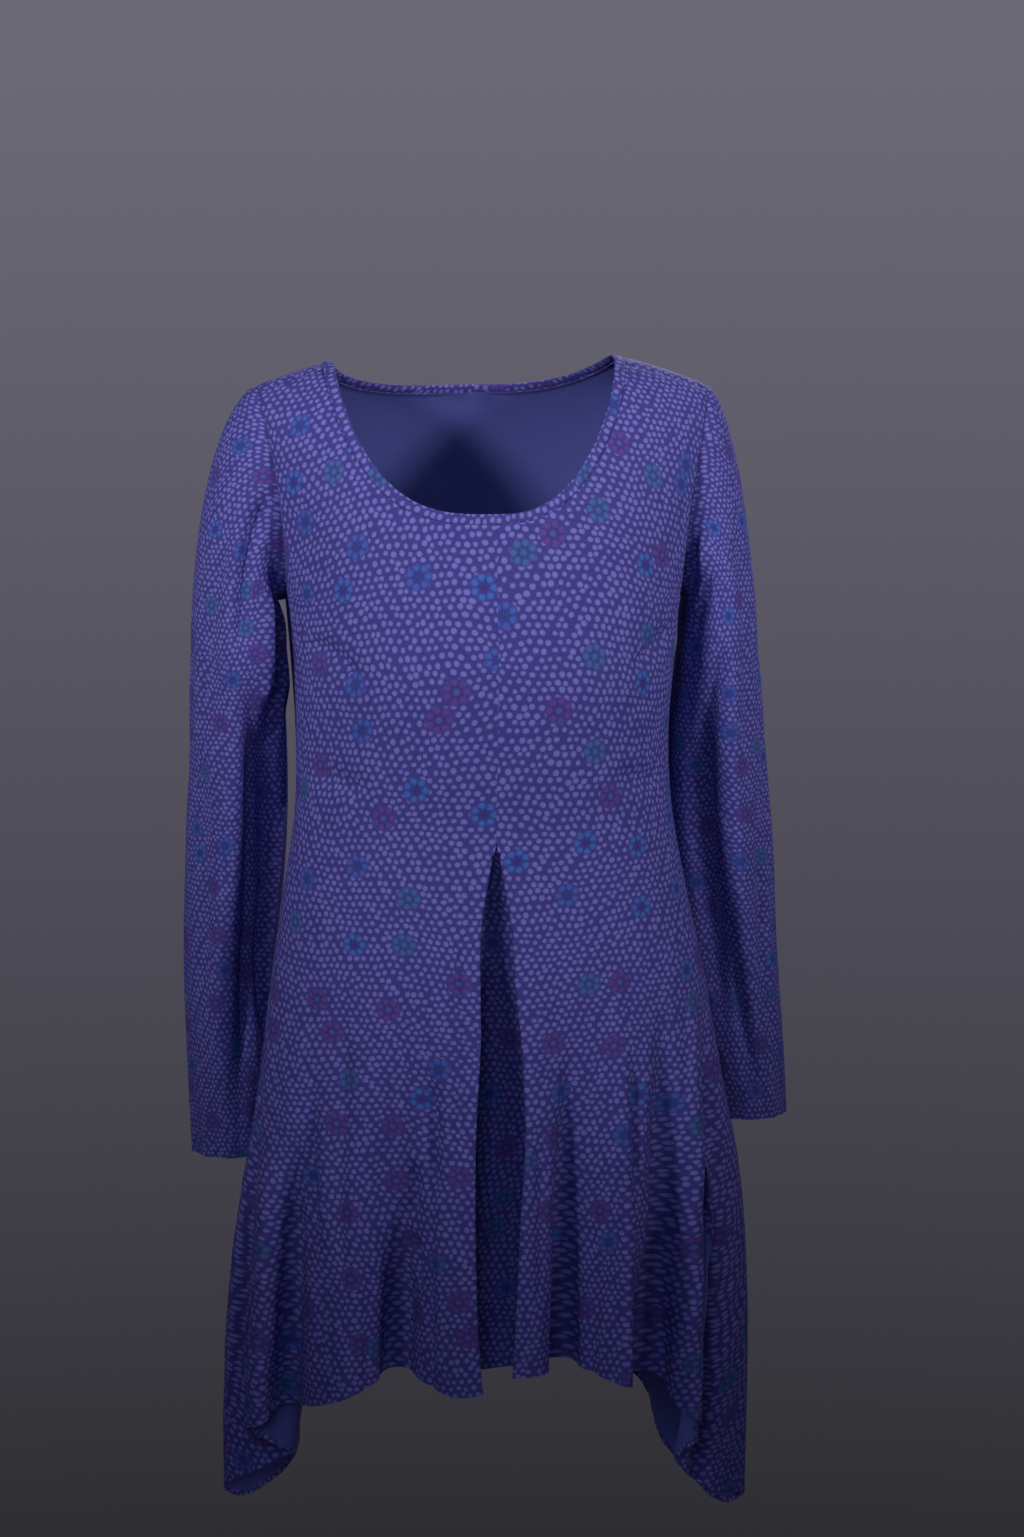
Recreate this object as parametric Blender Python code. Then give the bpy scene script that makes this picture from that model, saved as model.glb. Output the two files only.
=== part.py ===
"""A long-sleeved jersey dress, hollow, as it hangs when it is worn.

Two front halves meet in a centre-front seam that opens into an inverted pleat over a separate underlay.
The back is one piece, the sleeves are set in, the scoop neck has a narrow band, and the hem drops to a folded
point at each side.
Metres, +Z up. The front faces -Y and the wearer's left is +X. Z is 0 at the neck end of the shoulders.
"""
import math

import bmesh
import bpy
import numpy as np

COLLECTION = "Jersey dress"
LEFT, RIGHT = 1, -1                 # the wearer's sides, which are +X and -X
SIDE_NAME = {LEFT: "left", RIGHT: "right"}

# Driving sizes
WALL = 0.0016                       # jersey
BAND_WALL = 0.0026                  # the neckband is folded double
SEAM = 0.0003                       # between pieces
BAND_SEAM = 0.0005                  # between the neckband and the panels, along the scoop's middle
UNDERARM = 0.200                    # every "drop" is a distance below the neck end of the shoulders
CREST_RISE, CREST_BEND = 0.010, 1.05    # the shoulders: drop = bend * x * x - rise
SHOULDER_SEAM = 0.15                # level of the shoulder seam, forward of the crest
NECK_SQUARE = {LEFT: 2.55, RIGHT: 3.1}  # exponents of the scoop
NECK_HALF = {LEFT: 0.106, RIGHT: 0.1225}
NECK_FRONT, NECK_BACK = 0.80, 0.42  # levels of the scoop's lowest points
NECK_REACH = {True: 0.35, False: 0.23}  # metres along the cloth for one level, at the front and at the back
BAND = 0.0075                       # width of the neckband
BAND_CROWD = 1.35                   # above 1 the band's short faces gather at the shoulder
ARM_SPREAD = 29.0                   # degrees that the armhole is cut in from the side
CUFF = {LEFT: 0.656, RIGHT: 0.677}  # drop of each sleeve's end
CAP_TOP, CAP_END = 0.030, 0.240     # drops of the sleeve's head, and where it has become a plain tube
CAP_REACH = {LEFT: 0.085, RIGHT: 0.120}     # how far the head carries on over the shoulder, then turns down
CAP_REACH_UNDERARM = 0.035
CAP_FALL = 0.40                     # how far it falls for each metre out
CAP_ARRIVE = 0.150                  # and how far above the plain tube it hangs straight
PLEAT_TOP, UNDERLAY_TOP = 0.415, 0.409
PLEAT_DEPTH = 0.045                 # each side's turn-back behind the front
PLEAT_SPAN = 14.0                   # degrees from the centre within which each of its edges is found
PLEAT_FOLLOW = 0.4                  # share of the underlay's sink that the turned-back edges follow
FOLD = 0.0012                       # radius of the pressed edge
SEAM_TURN, SEAM_LEVEL = 0.06, 0.001     # half a seam, in degrees round the body and in levels
MITRE = 0.45                        # cosine of the sharpest half turn that a wall's mitre follows in full
SMOOTH_BELOW = 50.0                 # degrees between faces
COLOUR, ROUGHNESS = (0.085, 0.080, 0.340), 0.9

# Rows of the body's grids, from the shoulder to the hem
NECK_ROWS, CHEST_ROWS, WAIST_ROWS, SKIRT_ROWS = 7, 2, 4, 12
CREST_ROWS = 2                      # more rows on the back, which crosses the crest
FRONT_COLUMNS, BACK_COLUMNS = 18, 14
RETURN_COLUMNS, UNDERLAY_COLUMNS = 3, 8
CAP_ROWS, SLEEVE_ROWS = 5, 11

TURN, RISE = 0.5, 0.004             # small steps in angle and level, between which directions are taken
HALVINGS = 30
MERGE_DIGITS = 7                    # points this alike are one


class Table:
    """Named columns over a rising first column, read between the rows along a smooth curve."""

    def __init__(self, names, *rows, level_ends=""):
        values = np.array(rows, float)
        self.key = values[:, 0]
        self.columns = dict(zip(names.split()[1:], values[:, 1:].T))
        self.slopes = {name: np.gradient(value, self.key) for name, value in self.columns.items()}
        for name in level_ends.split():
            self.slopes[name][[0, -1]] = 0.0

    def read(self, name, at):
        key, value, slope = self.key, self.columns[name], self.slopes[name]
        at = np.clip(at, key[0], key[-1])
        low = np.clip(np.searchsorted(key, at, side="right") - 1, 0, len(key) - 2)
        step = key[low + 1] - key[low]
        t = (at - key[low]) / step
        ends = value[low] * (1 + 2 * t) * (1 - t) ** 2 + value[low + 1] * t * t * (3 - 2 * t)
        return ends + step * (slope[low] * t * (1 - t) ** 2 - slope[low + 1] * t * t * (1 - t))


# Chest and shoulders by level: 0 is the crest, 1 the underarm. A "round" is the power of the section's sine
# and cosine, on that side of its middle.
CHEST = Table(
    "level half_width front back front_round back_round",
    (0.00, 0.2050, 0.000, 0.000, 0.77, 0.77),
    (0.20, 0.2025, 0.031, 0.033, 0.77, 0.77),
    (0.40, 0.1960, 0.058, 0.062, 0.77, 0.77),
    (0.60, 0.1850, 0.082, 0.083, 0.78, 0.78),
    (0.80, 0.1730, 0.102, 0.094, 0.81, 0.81),
    (1.00, 0.1620, 0.117, 0.098, 0.85, 0.85),
)

# Plain sections below the underarm. "wide" is how far forward of the middle the section is widest.
BODY = Table(
    "drop left right front back wide front_round back_round",
    (0.20, 0.1620, 0.1620, 0.117, 0.098, 0.000, 0.85, 0.85),
    (0.25, 0.1580, 0.1580, 0.121, 0.094, 0.000, 0.86, 0.86),
    (0.32, 0.1545, 0.1545, 0.113, 0.084, 0.000, 0.88, 0.90),
    (0.38, 0.1580, 0.1570, 0.104, 0.080, 0.005, 0.88, 0.96),
    (0.43, 0.1665, 0.1650, 0.104, 0.088, 0.010, 0.88, 1.02),
    (0.52, 0.1845, 0.1790, 0.111, 0.102, 0.020, 0.88, 1.10),
    (0.60, 0.1975, 0.1900, 0.119, 0.110, 0.028, 0.88, 1.15),
    (0.68, 0.2120, 0.2010, 0.126, 0.115, 0.030, 0.88, 1.15),
    (0.80, 0.2255, 0.2120, 0.134, 0.120, 0.022, 0.88, 1.10),
    (1.00, 0.2400, 0.2200, 0.140, 0.124, 0.010, 0.88, 1.00),
)

# The hem's folds: where each ridge and valley lies at the hem, how low the hem is there and where the fold
# begins. The angle runs from 0 at the centre front, past 90 at the side seam, to 180 at the centre back.
HEM = {
    LEFT: Table(
        "angle out back drop start",
        (0.0, 0.000, -0.134, 0.826, 0.42),
        (6.5, 0.030, -0.134, 0.825, 0.42),      # ridge beside the pleat
        (17.0, 0.059, -0.101, 0.827, 0.50),     # valley
        (31.0, 0.103, -0.134, 0.836, 0.50),     # sharp ridge
        (38.0, 0.120, -0.111, 0.840, 0.54),
        (45.0, 0.129, -0.084, 0.846, 0.54),     # valley
        (53.0, 0.156, -0.088, 0.874, 0.54),
        (60.0, 0.184, -0.080, 0.896, 0.50),     # front tail
        (71.0, 0.160, -0.045, 0.935, 0.58),     # valley under the tail
        (82.0, 0.200, -0.024, 0.974, 0.58),
        (90.0, 0.228, 0.000, 0.984, 0.58),
        (101.0, 0.210, 0.025, 1.002, 0.62),     # side point
        (113.0, 0.166, 0.050, 0.958, 0.66),     # valley
        (127.0, 0.152, 0.096, 0.915, 0.60),     # ridge
        (140.0, 0.112, 0.093, 0.890, 0.55),     # valley
        (155.0, 0.074, 0.130, 0.873, 0.50),     # ridge
        (168.0, 0.036, 0.110, 0.865, 0.52),     # valley
        (180.0, 0.000, 0.126, 0.862, 0.50),
        level_ends="back drop start",
    ),
    RIGHT: Table(
        "angle out back drop start",
        (0.0, 0.000, -0.142, 0.832, 0.42),
        (9.0, 0.033, -0.148, 0.836, 0.42),      # ridge beside the pleat
        (26.0, 0.085, -0.102, 0.830, 0.48),     # valley
        (36.0, 0.126, -0.116, 0.845, 0.52),     # soft ridge
        (43.0, 0.147, -0.100, 0.855, 0.56),
        (53.0, 0.170, -0.066, 0.868, 0.60),     # valley
        (60.0, 0.198, -0.071, 0.880, 0.57),
        (65.0, 0.207, -0.059, 0.888, 0.57),     # front tail
        (70.0, 0.190, -0.044, 0.902, 0.58),
        (75.0, 0.171, -0.030, 0.920, 0.60),     # valley under the tail
        (83.0, 0.201, -0.014, 0.943, 0.60),
        (90.0, 0.222, 0.000, 0.958, 0.60),
        (101.0, 0.204, 0.022, 0.977, 0.62),     # side point, turned to the back
        (113.0, 0.164, 0.045, 0.956, 0.66),     # valley
        (127.0, 0.150, 0.094, 0.915, 0.60),     # ridge
        (141.0, 0.112, 0.090, 0.890, 0.55),     # valley
        (156.0, 0.072, 0.128, 0.873, 0.50),     # ridge
        (168.0, 0.036, 0.109, 0.865, 0.52),     # valley
        (180.0, 0.000, 0.126, 0.862, 0.50),
        level_ends="back drop start",
    ),
}

# The inverted pleat: how far each edge stands from the centre, and how far back the underlay sinks.
PLEAT = Table(
    "drop left right sink",
    (0.405, 0.0000, 0.0000, 0.000),
    (0.425, 0.0030, 0.0026, 0.002),
    (0.460, 0.0095, 0.0062, 0.010),
    (0.500, 0.0130, 0.0125, 0.020),
    (0.550, 0.0180, 0.0150, 0.030),
    (0.610, 0.0210, 0.0185, 0.036),
    (0.700, 0.0165, 0.0210, 0.042),
    (0.780, 0.0115, 0.0205, 0.042),
    (0.850, 0.0075, 0.0160, 0.038),
)

# The sleeves as they hang at the sides
SLEEVE = {
    LEFT: Table(
        "drop middle half_width back half_depth",
        (0.24, 0.1980, 0.0320, 0.008, 0.056),
        (0.28, 0.1980, 0.0375, 0.013, 0.054),
        (0.32, 0.1985, 0.0410, 0.018, 0.051),
        (0.40, 0.2055, 0.0450, 0.031, 0.046),
        (0.50, 0.2150, 0.0430, 0.043, 0.042),
        (0.60, 0.2290, 0.0385, 0.053, 0.039),
        (0.66, 0.2350, 0.0365, 0.057, 0.038),
    ),
    RIGHT: Table(
        "drop middle half_width back half_depth",
        (0.24, 0.2040, 0.0360, 0.008, 0.056),
        (0.28, 0.2030, 0.0395, 0.013, 0.054),
        (0.32, 0.2025, 0.0412, 0.018, 0.051),
        (0.38, 0.2038, 0.0428, 0.028, 0.047),
        (0.44, 0.2060, 0.0415, 0.037, 0.044),
        (0.50, 0.2095, 0.0380, 0.044, 0.042),
        (0.60, 0.2120, 0.0345, 0.054, 0.039),
        (0.69, 0.2110, 0.0335, 0.060, 0.037),
    ),
}


def unit(vectors):
    return vectors / np.maximum(np.linalg.norm(vectors, axis=-1, keepdims=True), 1e-12)


def smooth_step(t):
    t = np.clip(t, 0.0, 1.0)
    return t * t * (3 - 2 * t)


def spread(start, end, count):
    """Evenly spaced values after start, up to and with end."""
    return list(np.linspace(start, end, count + 1)[1:])


def section(table, key, half_width, lateral, forward):
    """A plain section: distance out from the middle, and distance back, for a sine and cosine round it."""
    front_side = forward >= 0
    power = np.where(front_side, table.read("front_round", key), table.read("back_round", key))
    wide = table.read("wide", key) if "wide" in table.columns else 0.0
    depth = np.where(front_side, table.read("front", key) - wide, table.read("back", key) + wide)
    out = table.read(half_width, key) * np.sign(lateral) * np.abs(lateral) ** power
    return out, -np.sign(forward) * depth * np.abs(forward) ** power - wide


def chest(side, lateral, forward, level):
    out, back = section(CHEST, level, "half_width", lateral, forward)
    crest = CREST_BEND * out * out - CREST_RISE
    drop = crest + (UNDERARM - crest) * level ** 2
    return np.stack([side * out, back, -drop], axis=-1)


def skirt(side, angle, lateral, forward, level):
    hem = HEM[side]
    signed = (angle + 180) % 360 - 180
    turn = np.abs(signed)
    hem_drop = hem.read("drop", turn)
    drop = UNDERARM + (hem_drop - UNDERARM) * (level - 1)
    out, back = section(BODY, drop, SIDE_NAME[side], lateral, forward)
    start = hem.read("start", turn)
    folded = smooth_step((drop - start) / (hem_drop - start))
    out = out + (np.sign(signed) * hem.read("out", turn) - out) * folded
    back = back + (hem.read("back", turn) - back) * folded
    return np.stack([side * out, back, -drop], axis=-1)


def body(side, angle, level):
    """Where the cloth lies, by angle round the body and by level: 0 the crest, 1 the underarm, 2 the hem."""
    angle, level = np.broadcast_arrays(np.asarray(angle, float), np.asarray(level, float))
    angle = np.where(level < 0, 180 - angle, angle)     # a level below 0 lies over the crest, on the other face
    level = np.abs(level)
    lateral, forward = np.sin(np.radians(angle)), np.cos(np.radians(angle))
    upper = chest(side, lateral, forward, np.minimum(level, 1.0))
    lower = skirt(side, angle, lateral, forward, np.maximum(level, 1.0))
    return np.where((level <= 1)[..., None], upper, lower)


def body_normal(side, angle, level):
    """The direction that points out of the cloth."""
    across = body(side, angle + TURN, level) - body(side, angle - TURN, level)
    level_down = np.where(np.abs(level) < RISE, level + RISE, level)
    down = body(side, angle, level_down + RISE) - body(side, angle, level_down - RISE)
    return unit(np.cross(across, down)) * -side


def slide(side, angle, level, distance):
    """The angle at a distance round the body from another angle."""
    reach = np.linalg.norm(body(side, angle + TURN, level) - body(side, angle, level), axis=-1)
    return angle + TURN * distance / reach


def angle_of(side_half, level, front):
    """The angle at a distance out from the middle, on the chest or the upper back."""
    power = CHEST.read("front_round", level)
    ratio = np.clip(side_half / CHEST.read("half_width", level), 0, 1) ** (1 / power)
    angle = np.degrees(np.arcsin(ratio))
    return angle if front else 180 - angle


def neck_edge(side, turn, away, front):
    """Angle and level at a distance from the scoop, at a turn from 0 at the shoulder to 90 at the middle."""
    power = 2 / NECK_SQUARE[side]
    out = (NECK_HALF[side] + away) * np.cos(np.radians(turn)) ** power
    scoop = (NECK_FRONT if front else NECK_BACK) + away / NECK_REACH[front]
    level = scoop * np.sin(np.radians(turn)) ** power
    return angle_of(out, level, front), level


def arm_angle(level, front):
    angle = 90 - ARM_SPREAD * np.sqrt(1 - np.minimum(np.abs(level), 1.0) ** 2)
    return angle if front else 180 - angle


def armhole(side):
    """The armhole's seam: points, the way out of the cloth, and the way from the body to the sleeve."""
    front = spread(SHOULDER_SEAM, 1.0, NECK_ROWS + CHEST_ROWS)
    back = spread(-SHOULDER_SEAM, 0.0, CREST_ROWS) + spread(0.0, 1.0, NECK_ROWS + CHEST_ROWS)
    levels = np.array([SHOULDER_SEAM] + front + back[-2::-1])
    facing = np.array([True] * (1 + len(front)) + [False] * (len(back) - 1))
    angles = np.where(facing, arm_angle(levels, True), arm_angle(levels, False))
    points = body(side, angles, levels)
    out_of_body = body_normal(side, angles, levels)
    along = unit(np.roll(points, -1, axis=0) - np.roll(points, 1, axis=0))
    leave = np.cross(along, cap_start(side, points)) * side
    lean = unit(out_of_body + unit(leave))
    stretch = 1 / np.clip(np.sum(lean * out_of_body, axis=-1, keepdims=True), MITRE, 1)
    across = unit(np.cross(lean, along)) * side
    return points, lean * stretch, across


def cap_start(side, points):
    """How the sleeve's head leaves the armhole: far over the shoulder, little under the arm."""
    height = np.clip((points[:, 2] + UNDERARM) / (UNDERARM - CAP_TOP), 0, 1)[:, None]
    reach = CAP_REACH_UNDERARM + (CAP_REACH[side] - CAP_REACH_UNDERARM) * height
    return reach * np.array([side * 1.0, 0.0, -CAP_FALL])


def neck_turns(side, front):
    """The turns round the scoop at which the rows of a panel and the ends of the band's faces lie."""
    share = np.linspace(0, 1, NECK_ROWS + 1) ** BAND_CROWD
    if not front:
        return 90 * share[1:]
    start = math.degrees(math.asin((SHOULDER_SEAM / NECK_FRONT) ** (NECK_SQUARE[side] / 2)))
    return start + (90 - start) * share


def shoulder_levels():
    """The rows of the back over the crest, from the shoulder seam."""
    return [-SHOULDER_SEAM] + spread(-SHOULDER_SEAM, 0.0, CREST_ROWS)


def shoulder_angles(side, away):
    return np.array([180 - angle_of(NECK_HALF[side] + away, abs(level), True) for level in shoulder_levels()])


def panel_rows(side, front):
    """Angles and levels of a half panel's rows at its middle edge, and then at the armhole and side seam."""
    away = BAND + BAND_SEAM
    turns = neck_turns(side, front)
    top = [SHOULDER_SEAM] if front else shoulder_levels()
    angles, levels = ([], []) if front else (list(shoulder_angles(side, away)), list(top))
    neck_angles, neck_levels = neck_edge(side, turns, away, front)
    pleat_level = 1 + (PLEAT_TOP - UNDERARM) / (HEM[LEFT].read("drop", 0.0) - UNDERARM)
    below = spread(1.0, pleat_level, WAIST_ROWS) + spread(pleat_level, 2.0, SKIRT_ROWS)
    levels += list(neck_levels) + spread(neck_levels[-1], 1.0, CHEST_ROWS) + below
    angles += list(neck_angles) + [0.0 if front else 180.0] * (CHEST_ROWS + len(below))
    side_levels = np.array(top + spread(top[-1], 1.0, NECK_ROWS + CHEST_ROWS) + below)
    seam = 90 - SEAM_TURN if front else 90 + SEAM_TURN
    side_angles = np.where(side_levels < 1, arm_angle(side_levels, front), seam)
    levels[0] += SEAM_LEVEL
    side_levels[0] += SEAM_LEVEL
    return np.array(angles), np.array(levels), side_angles, side_levels


def panel(side, front, columns):
    """A half panel's points and directions out, from its middle edge to the armhole and side seam."""
    angles, levels, side_angles, side_levels = panel_rows(side, front)
    if front:
        first_pleated = NECK_ROWS + CHEST_ROWS + WAIST_ROWS
        seamed, pleated = slice(NECK_ROWS, first_pleated), slice(first_pleated, None)
        angles[seamed] = pleat_edge(side, levels[seamed], SEAM / 2)
        edge_levels = levels[pleated]
        edge_angles = pleat_edge(side, edge_levels, FOLD)
        angles[pleated] = slide(side, edge_angles, edge_levels, FOLD)
    share = np.linspace(0, 1, columns + 1)
    angle = angles[:, None] + (side_angles - angles)[:, None] * share
    level = levels[:, None] + (side_levels - levels)[:, None] * share
    points, normals = body(side, angle, level), body_normal(side, angle, level)
    hole, lean, across = armhole(side)
    along = unit(np.roll(hole, -1, axis=0) - np.roll(hole, 1, axis=0))
    arm_rows = int(np.sum(side_levels < 1)) + 1
    order = np.arange(arm_rows) if front else (len(hole) - np.arange(arm_rows)) % len(hole)
    points[:arm_rows, -1] = hole[order] - across[order] * SEAM / 2
    normals[:arm_rows, -1] = lean[order]
    forward = SEAM / 2 if front else -SEAM / 2
    points[0, -1] += along[order[0]] * forward
    points[arm_rows - 1, -1] -= along[order[-1]] * forward
    faces = np.full((angle.shape[0] - 1, angle.shape[1] - 1), True)
    if not front:
        return points, normals, faces
    back_points, back_normals = turn_back(side, edge_angles, edge_levels)
    missing, extra = len(levels) - len(edge_levels), back_points.shape[1]
    hidden = np.zeros((missing, extra, 3))
    points = np.concatenate([np.concatenate([hidden, back_points]), points], axis=1)
    normals = np.concatenate([np.concatenate([hidden, back_normals]), normals], axis=1)
    turned = np.arange(faces.shape[0])[:, None].repeat(extra, axis=1) >= missing
    return points, normals, np.concatenate([turned, faces], axis=1)


def turn_back(side, edge_angles, levels):
    """The part of a front half that is folded behind it at the pleat, from its far edge to the fold."""
    edge, out = body(side, edge_angles, levels), body_normal(side, edge_angles, levels)
    to_centre = unit(edge - body(side, edge_angles + TURN, levels))
    near = edge - out * 2 * FOLD - to_centre * FOLD
    far = pleat_seam(side, edge_angles, levels)
    points = [near + (far - near) * share for share in np.linspace(1, 0, RETURN_COLUMNS + 1)]
    points.append(edge - out * FOLD)
    normals = [-out] * (RETURN_COLUMNS + 1) + [to_centre]
    return np.stack(points, axis=1), np.stack(normals, axis=1)


def pleat_seam(side, edge_angles, levels):
    """Where the turned-back part ends, behind the front, and the underlay is sewn on."""
    far = slide(side, edge_angles, levels, PLEAT_DEPTH)
    place = body(side, far, levels)
    sink = PLEAT.read("sink", -place[:, 2])
    return place - body_normal(side, far, levels) * (2 * FOLD + PLEAT_FOLLOW * sink)[:, None]


def pleat_edge(side, level, clear):
    """The angle at which a front half ends: just clear of the centre, or at the pleat's opening."""
    low, high = np.zeros_like(level), np.full_like(level, PLEAT_SPAN)
    for _ in range(HALVINGS):
        middle = (low + high) / 2
        point = body(side, middle, level)
        short = side * point[:, 0] < PLEAT.read(SIDE_NAME[side], -point[:, 2]) + clear
        low, high = np.where(short, middle, low), np.where(short, high, middle)
    return high


def underlay():
    """The backing of the pleat, from the wearer's left to the right: points and directions out."""
    pleat_level = 1 + (UNDERLAY_TOP - UNDERARM) / (HEM[LEFT].read("drop", 0.0) - UNDERARM)
    levels = np.array([pleat_level] + spread(pleat_level, 2.0, SKIRT_ROWS))
    edge = {side: pleat_edge(side, levels, FOLD) for side in (LEFT, RIGHT)}
    middle = (body(LEFT, edge[LEFT], levels) + body(RIGHT, edge[RIGHT], levels)) / 2
    middle[:, 1] += 4 * FOLD + PLEAT.read("sink", -middle[:, 2])
    columns = []
    for share in np.linspace(1, -1, UNDERLAY_COLUMNS + 1):
        side = LEFT if share > 0 else RIGHT
        far = pleat_seam(side, edge[side], levels)
        far[:, 1] += 2 * FOLD
        place = middle + (far - middle) * abs(share)
        place[:, 1] = middle[:, 1] + (far - middle)[:, 1] * share ** 2
        columns.append(place)
    points = np.stack(columns, axis=1)
    return points, grid_normals(points), all_faces(points)


def all_faces(points, wrap=False):
    return np.full((points.shape[0] - 1, points.shape[1] - (0 if wrap else 1)), True)


def grid_normals(points):
    """The directions out of a grid whose columns run from the wearer's left to the right."""
    across, down = np.gradient(points, axis=1), np.gradient(points, axis=0)
    return unit(np.cross(down, across))


def back_panel():
    """Both halves of the back, which share the points of the middle line below the neck."""
    left, right = panel(LEFT, False, BACK_COLUMNS), panel(RIGHT, False, BACK_COLUMNS)
    points, normals = [np.concatenate([left[i][:, ::-1], right[i]], axis=1) for i in (0, 1)]
    parted = np.full((len(points) - 1, 1), False)
    return points, normals, np.concatenate([left[2], parted, right[2]], axis=1)


def neckband():
    """A ring round the neck: points and directions out, with its inner and outer edges as rows."""
    rings = []
    for away in (0.0, BAND):
        quarters = {}
        for side in (LEFT, RIGHT):
            angle, level = neck_edge(side, neck_turns(side, False), away, False)
            angle = np.concatenate([angle[::-1], shoulder_angles(side, away)[:0:-1]])
            level = np.concatenate([level[::-1], np.array(shoulder_levels()[:0:-1])])
            front_angle, front_level = neck_edge(side, neck_turns(side, True), away, True)
            angle = np.concatenate([angle, front_angle])
            level = np.concatenate([level, front_level])
            quarters[side] = body(side, angle, level), body_normal(side, angle, level)
        rings.append([np.concatenate([quarters[LEFT][i], quarters[RIGHT][i][-2:0:-1]]) for i in (0, 1)])
    points = np.stack([ring[0] for ring in rings])
    normals = np.stack([ring[1] for ring in rings])
    return points, normals, all_faces(points, wrap=True)


def sleeve_ring(side, drop, turn):
    table = SLEEVE[side]
    out = table.read("middle", drop) + table.read("half_width", drop) * np.cos(turn)
    back = table.read("back", drop) - table.read("half_depth", drop) * np.sin(turn)
    return np.stack([side * out, back, -drop + 0.0 * turn], axis=-1)


def sleeve(side):
    """A sleeve from its armhole to the cuff: rings of points, and the directions out."""
    hole, lean, across = armhole(side)
    steps = np.linalg.norm(np.roll(hole, -1, axis=0) - hole, axis=1)
    walked = np.concatenate([[0], np.cumsum(steps)])
    low = NECK_ROWS + CHEST_ROWS
    front, back = walked[:low + 1] / walked[low], (walked[low:-1] - walked[low]) / (walked[-1] - walked[low])
    turn = np.pi * np.concatenate([front, 1 + back[1:]])
    start = hole + across * SEAM / 2
    end = sleeve_ring(side, CAP_END, turn)
    leave = cap_start(side, hole)
    arrive = np.array([0.0, 0.0, -CAP_ARRIVE])
    rings = []
    for t in np.linspace(0, 1, CAP_ROWS + 1):
        ends = start * (1 + 2 * t) * (1 - t) ** 2 + end * t * t * (3 - 2 * t)
        rings.append(ends + leave * t * (1 - t) ** 2 - arrive * t * t * (1 - t))
    rings += [sleeve_ring(side, drop, turn) for drop in spread(CAP_END, CUFF[side], SLEEVE_ROWS)]
    points = np.stack(rings)
    around = np.roll(points, -1, axis=1) - np.roll(points, 1, axis=1)
    down = np.gradient(points, axis=0)
    normals = unit(np.cross(around, down)) * side
    normals[0] = lean
    return points, normals, all_faces(points, wrap=True)


def lean_at_folds(points, normals, faces, wrap):
    """Directions that keep a wall even where its columns turn: mitred between the faces beside them."""
    before, after = np.roll(points, 1, axis=1), np.roll(points, -1, axis=1)
    arrive, leave = unit(points - before), unit(after - points)
    along = unit(arrive + leave)
    half_turn = np.sum(arrive * along, axis=-1, keepdims=True)
    length = np.linalg.norm(normals, axis=-1, keepdims=True)
    leaning = unit(normals - np.sum(normals * along, axis=-1, keepdims=True) * along)
    leaning /= np.clip(half_turn, MITRE, 1)
    wide = faces if wrap else np.pad(faces, ((0, 0), (0, 1)))
    tall = np.pad(wide, ((1, 1), (0, 0)))
    beside = tall[1:] | tall[:-1]
    inside = beside & np.roll(beside, 1, axis=1)
    return np.where(inside[..., None], leaning * length, normals)


def close_wall(name, grid, thickness, wrap=False):
    """A wall of cloth about a grid of points: outer and inner sheets, joined all round their edges."""
    points, normals, faces = grid
    offset = lean_at_folds(points, normals, faces, wrap) * thickness / 2
    flat = points.reshape(-1, 3).round(MERGE_DIGITS)
    places, first, number = np.unique(flat, axis=0, return_index=True, return_inverse=True)
    number = number.reshape(points.shape[:2])
    total = len(places)
    offset = offset.reshape(-1, 3)[first]
    columns = points.shape[1]
    sheet = []
    for row, column in np.argwhere(faces):
        beside = (column + 1) % columns
        quad = (row, column), (row, beside), (row + 1, beside), (row + 1, column)
        if math.dist(points[quad[0]], points[quad[2]]) > math.dist(points[quad[1]], points[quad[3]]):
            quad = quad[1:] + quad[:1]
        a, b, c, d = [int(number[place]) for place in quad]
        sheet += [(a, b, c), (a, c, d)]
    edges = {(face[i], face[(i + 1) % 3]) for face in sheet for i in range(3)}
    rims = sorted((b, a, a + total, b + total) for a, b in edges if (b, a) not in edges)
    inner = [[corner + total for corner in reversed(face)] for face in sheet]
    shape = bmesh.new()
    verts = [shape.verts.new(corner) for corner in np.concatenate([places + offset, places - offset])]
    for face in sheet + inner + rims:
        shape.faces.new([verts[corner] for corner in face])
    bmesh.ops.delete(shape, geom=[vert for vert in shape.verts if not vert.link_faces], context="VERTS")
    bmesh.ops.recalc_face_normals(shape, faces=shape.faces)
    mesh = bpy.data.meshes.new(name)
    shape.to_mesh(mesh)
    shape.free()
    mesh.shade_smooth()
    mesh.set_sharp_from_angle(angle=math.radians(SMOOTH_BELOW))
    mesh.materials.append(cloth_material(name))
    piece = bpy.data.objects.new(name, mesh)
    bpy.data.collections[COLLECTION].objects.link(piece)


def cloth_material(name):
    material = bpy.data.materials.new(name)
    material.use_nodes = True
    shader = material.node_tree.nodes["Principled BSDF"]
    shader.inputs["Base Color"].default_value = (*COLOUR, 1)
    shader.inputs["Roughness"].default_value = ROUGHNESS
    shader.inputs["Metallic"].default_value = 0.0
    return material


def build():
    for item in list(bpy.data.objects):
        bpy.data.objects.remove(item)
    bpy.context.scene.collection.children.link(bpy.data.collections.new(COLLECTION))
    close_wall("front_left", panel(LEFT, True, FRONT_COLUMNS), WALL)
    close_wall("front_right", panel(RIGHT, True, FRONT_COLUMNS), WALL)
    close_wall("back", back_panel(), WALL)
    close_wall("pleat_underlay", underlay(), WALL)
    close_wall("neckband", neckband(), BAND_WALL, wrap=True)
    close_wall("sleeve_left", sleeve(LEFT), WALL, wrap=True)
    close_wall("sleeve_right", sleeve(RIGHT), WALL, wrap=True)


build()
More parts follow.
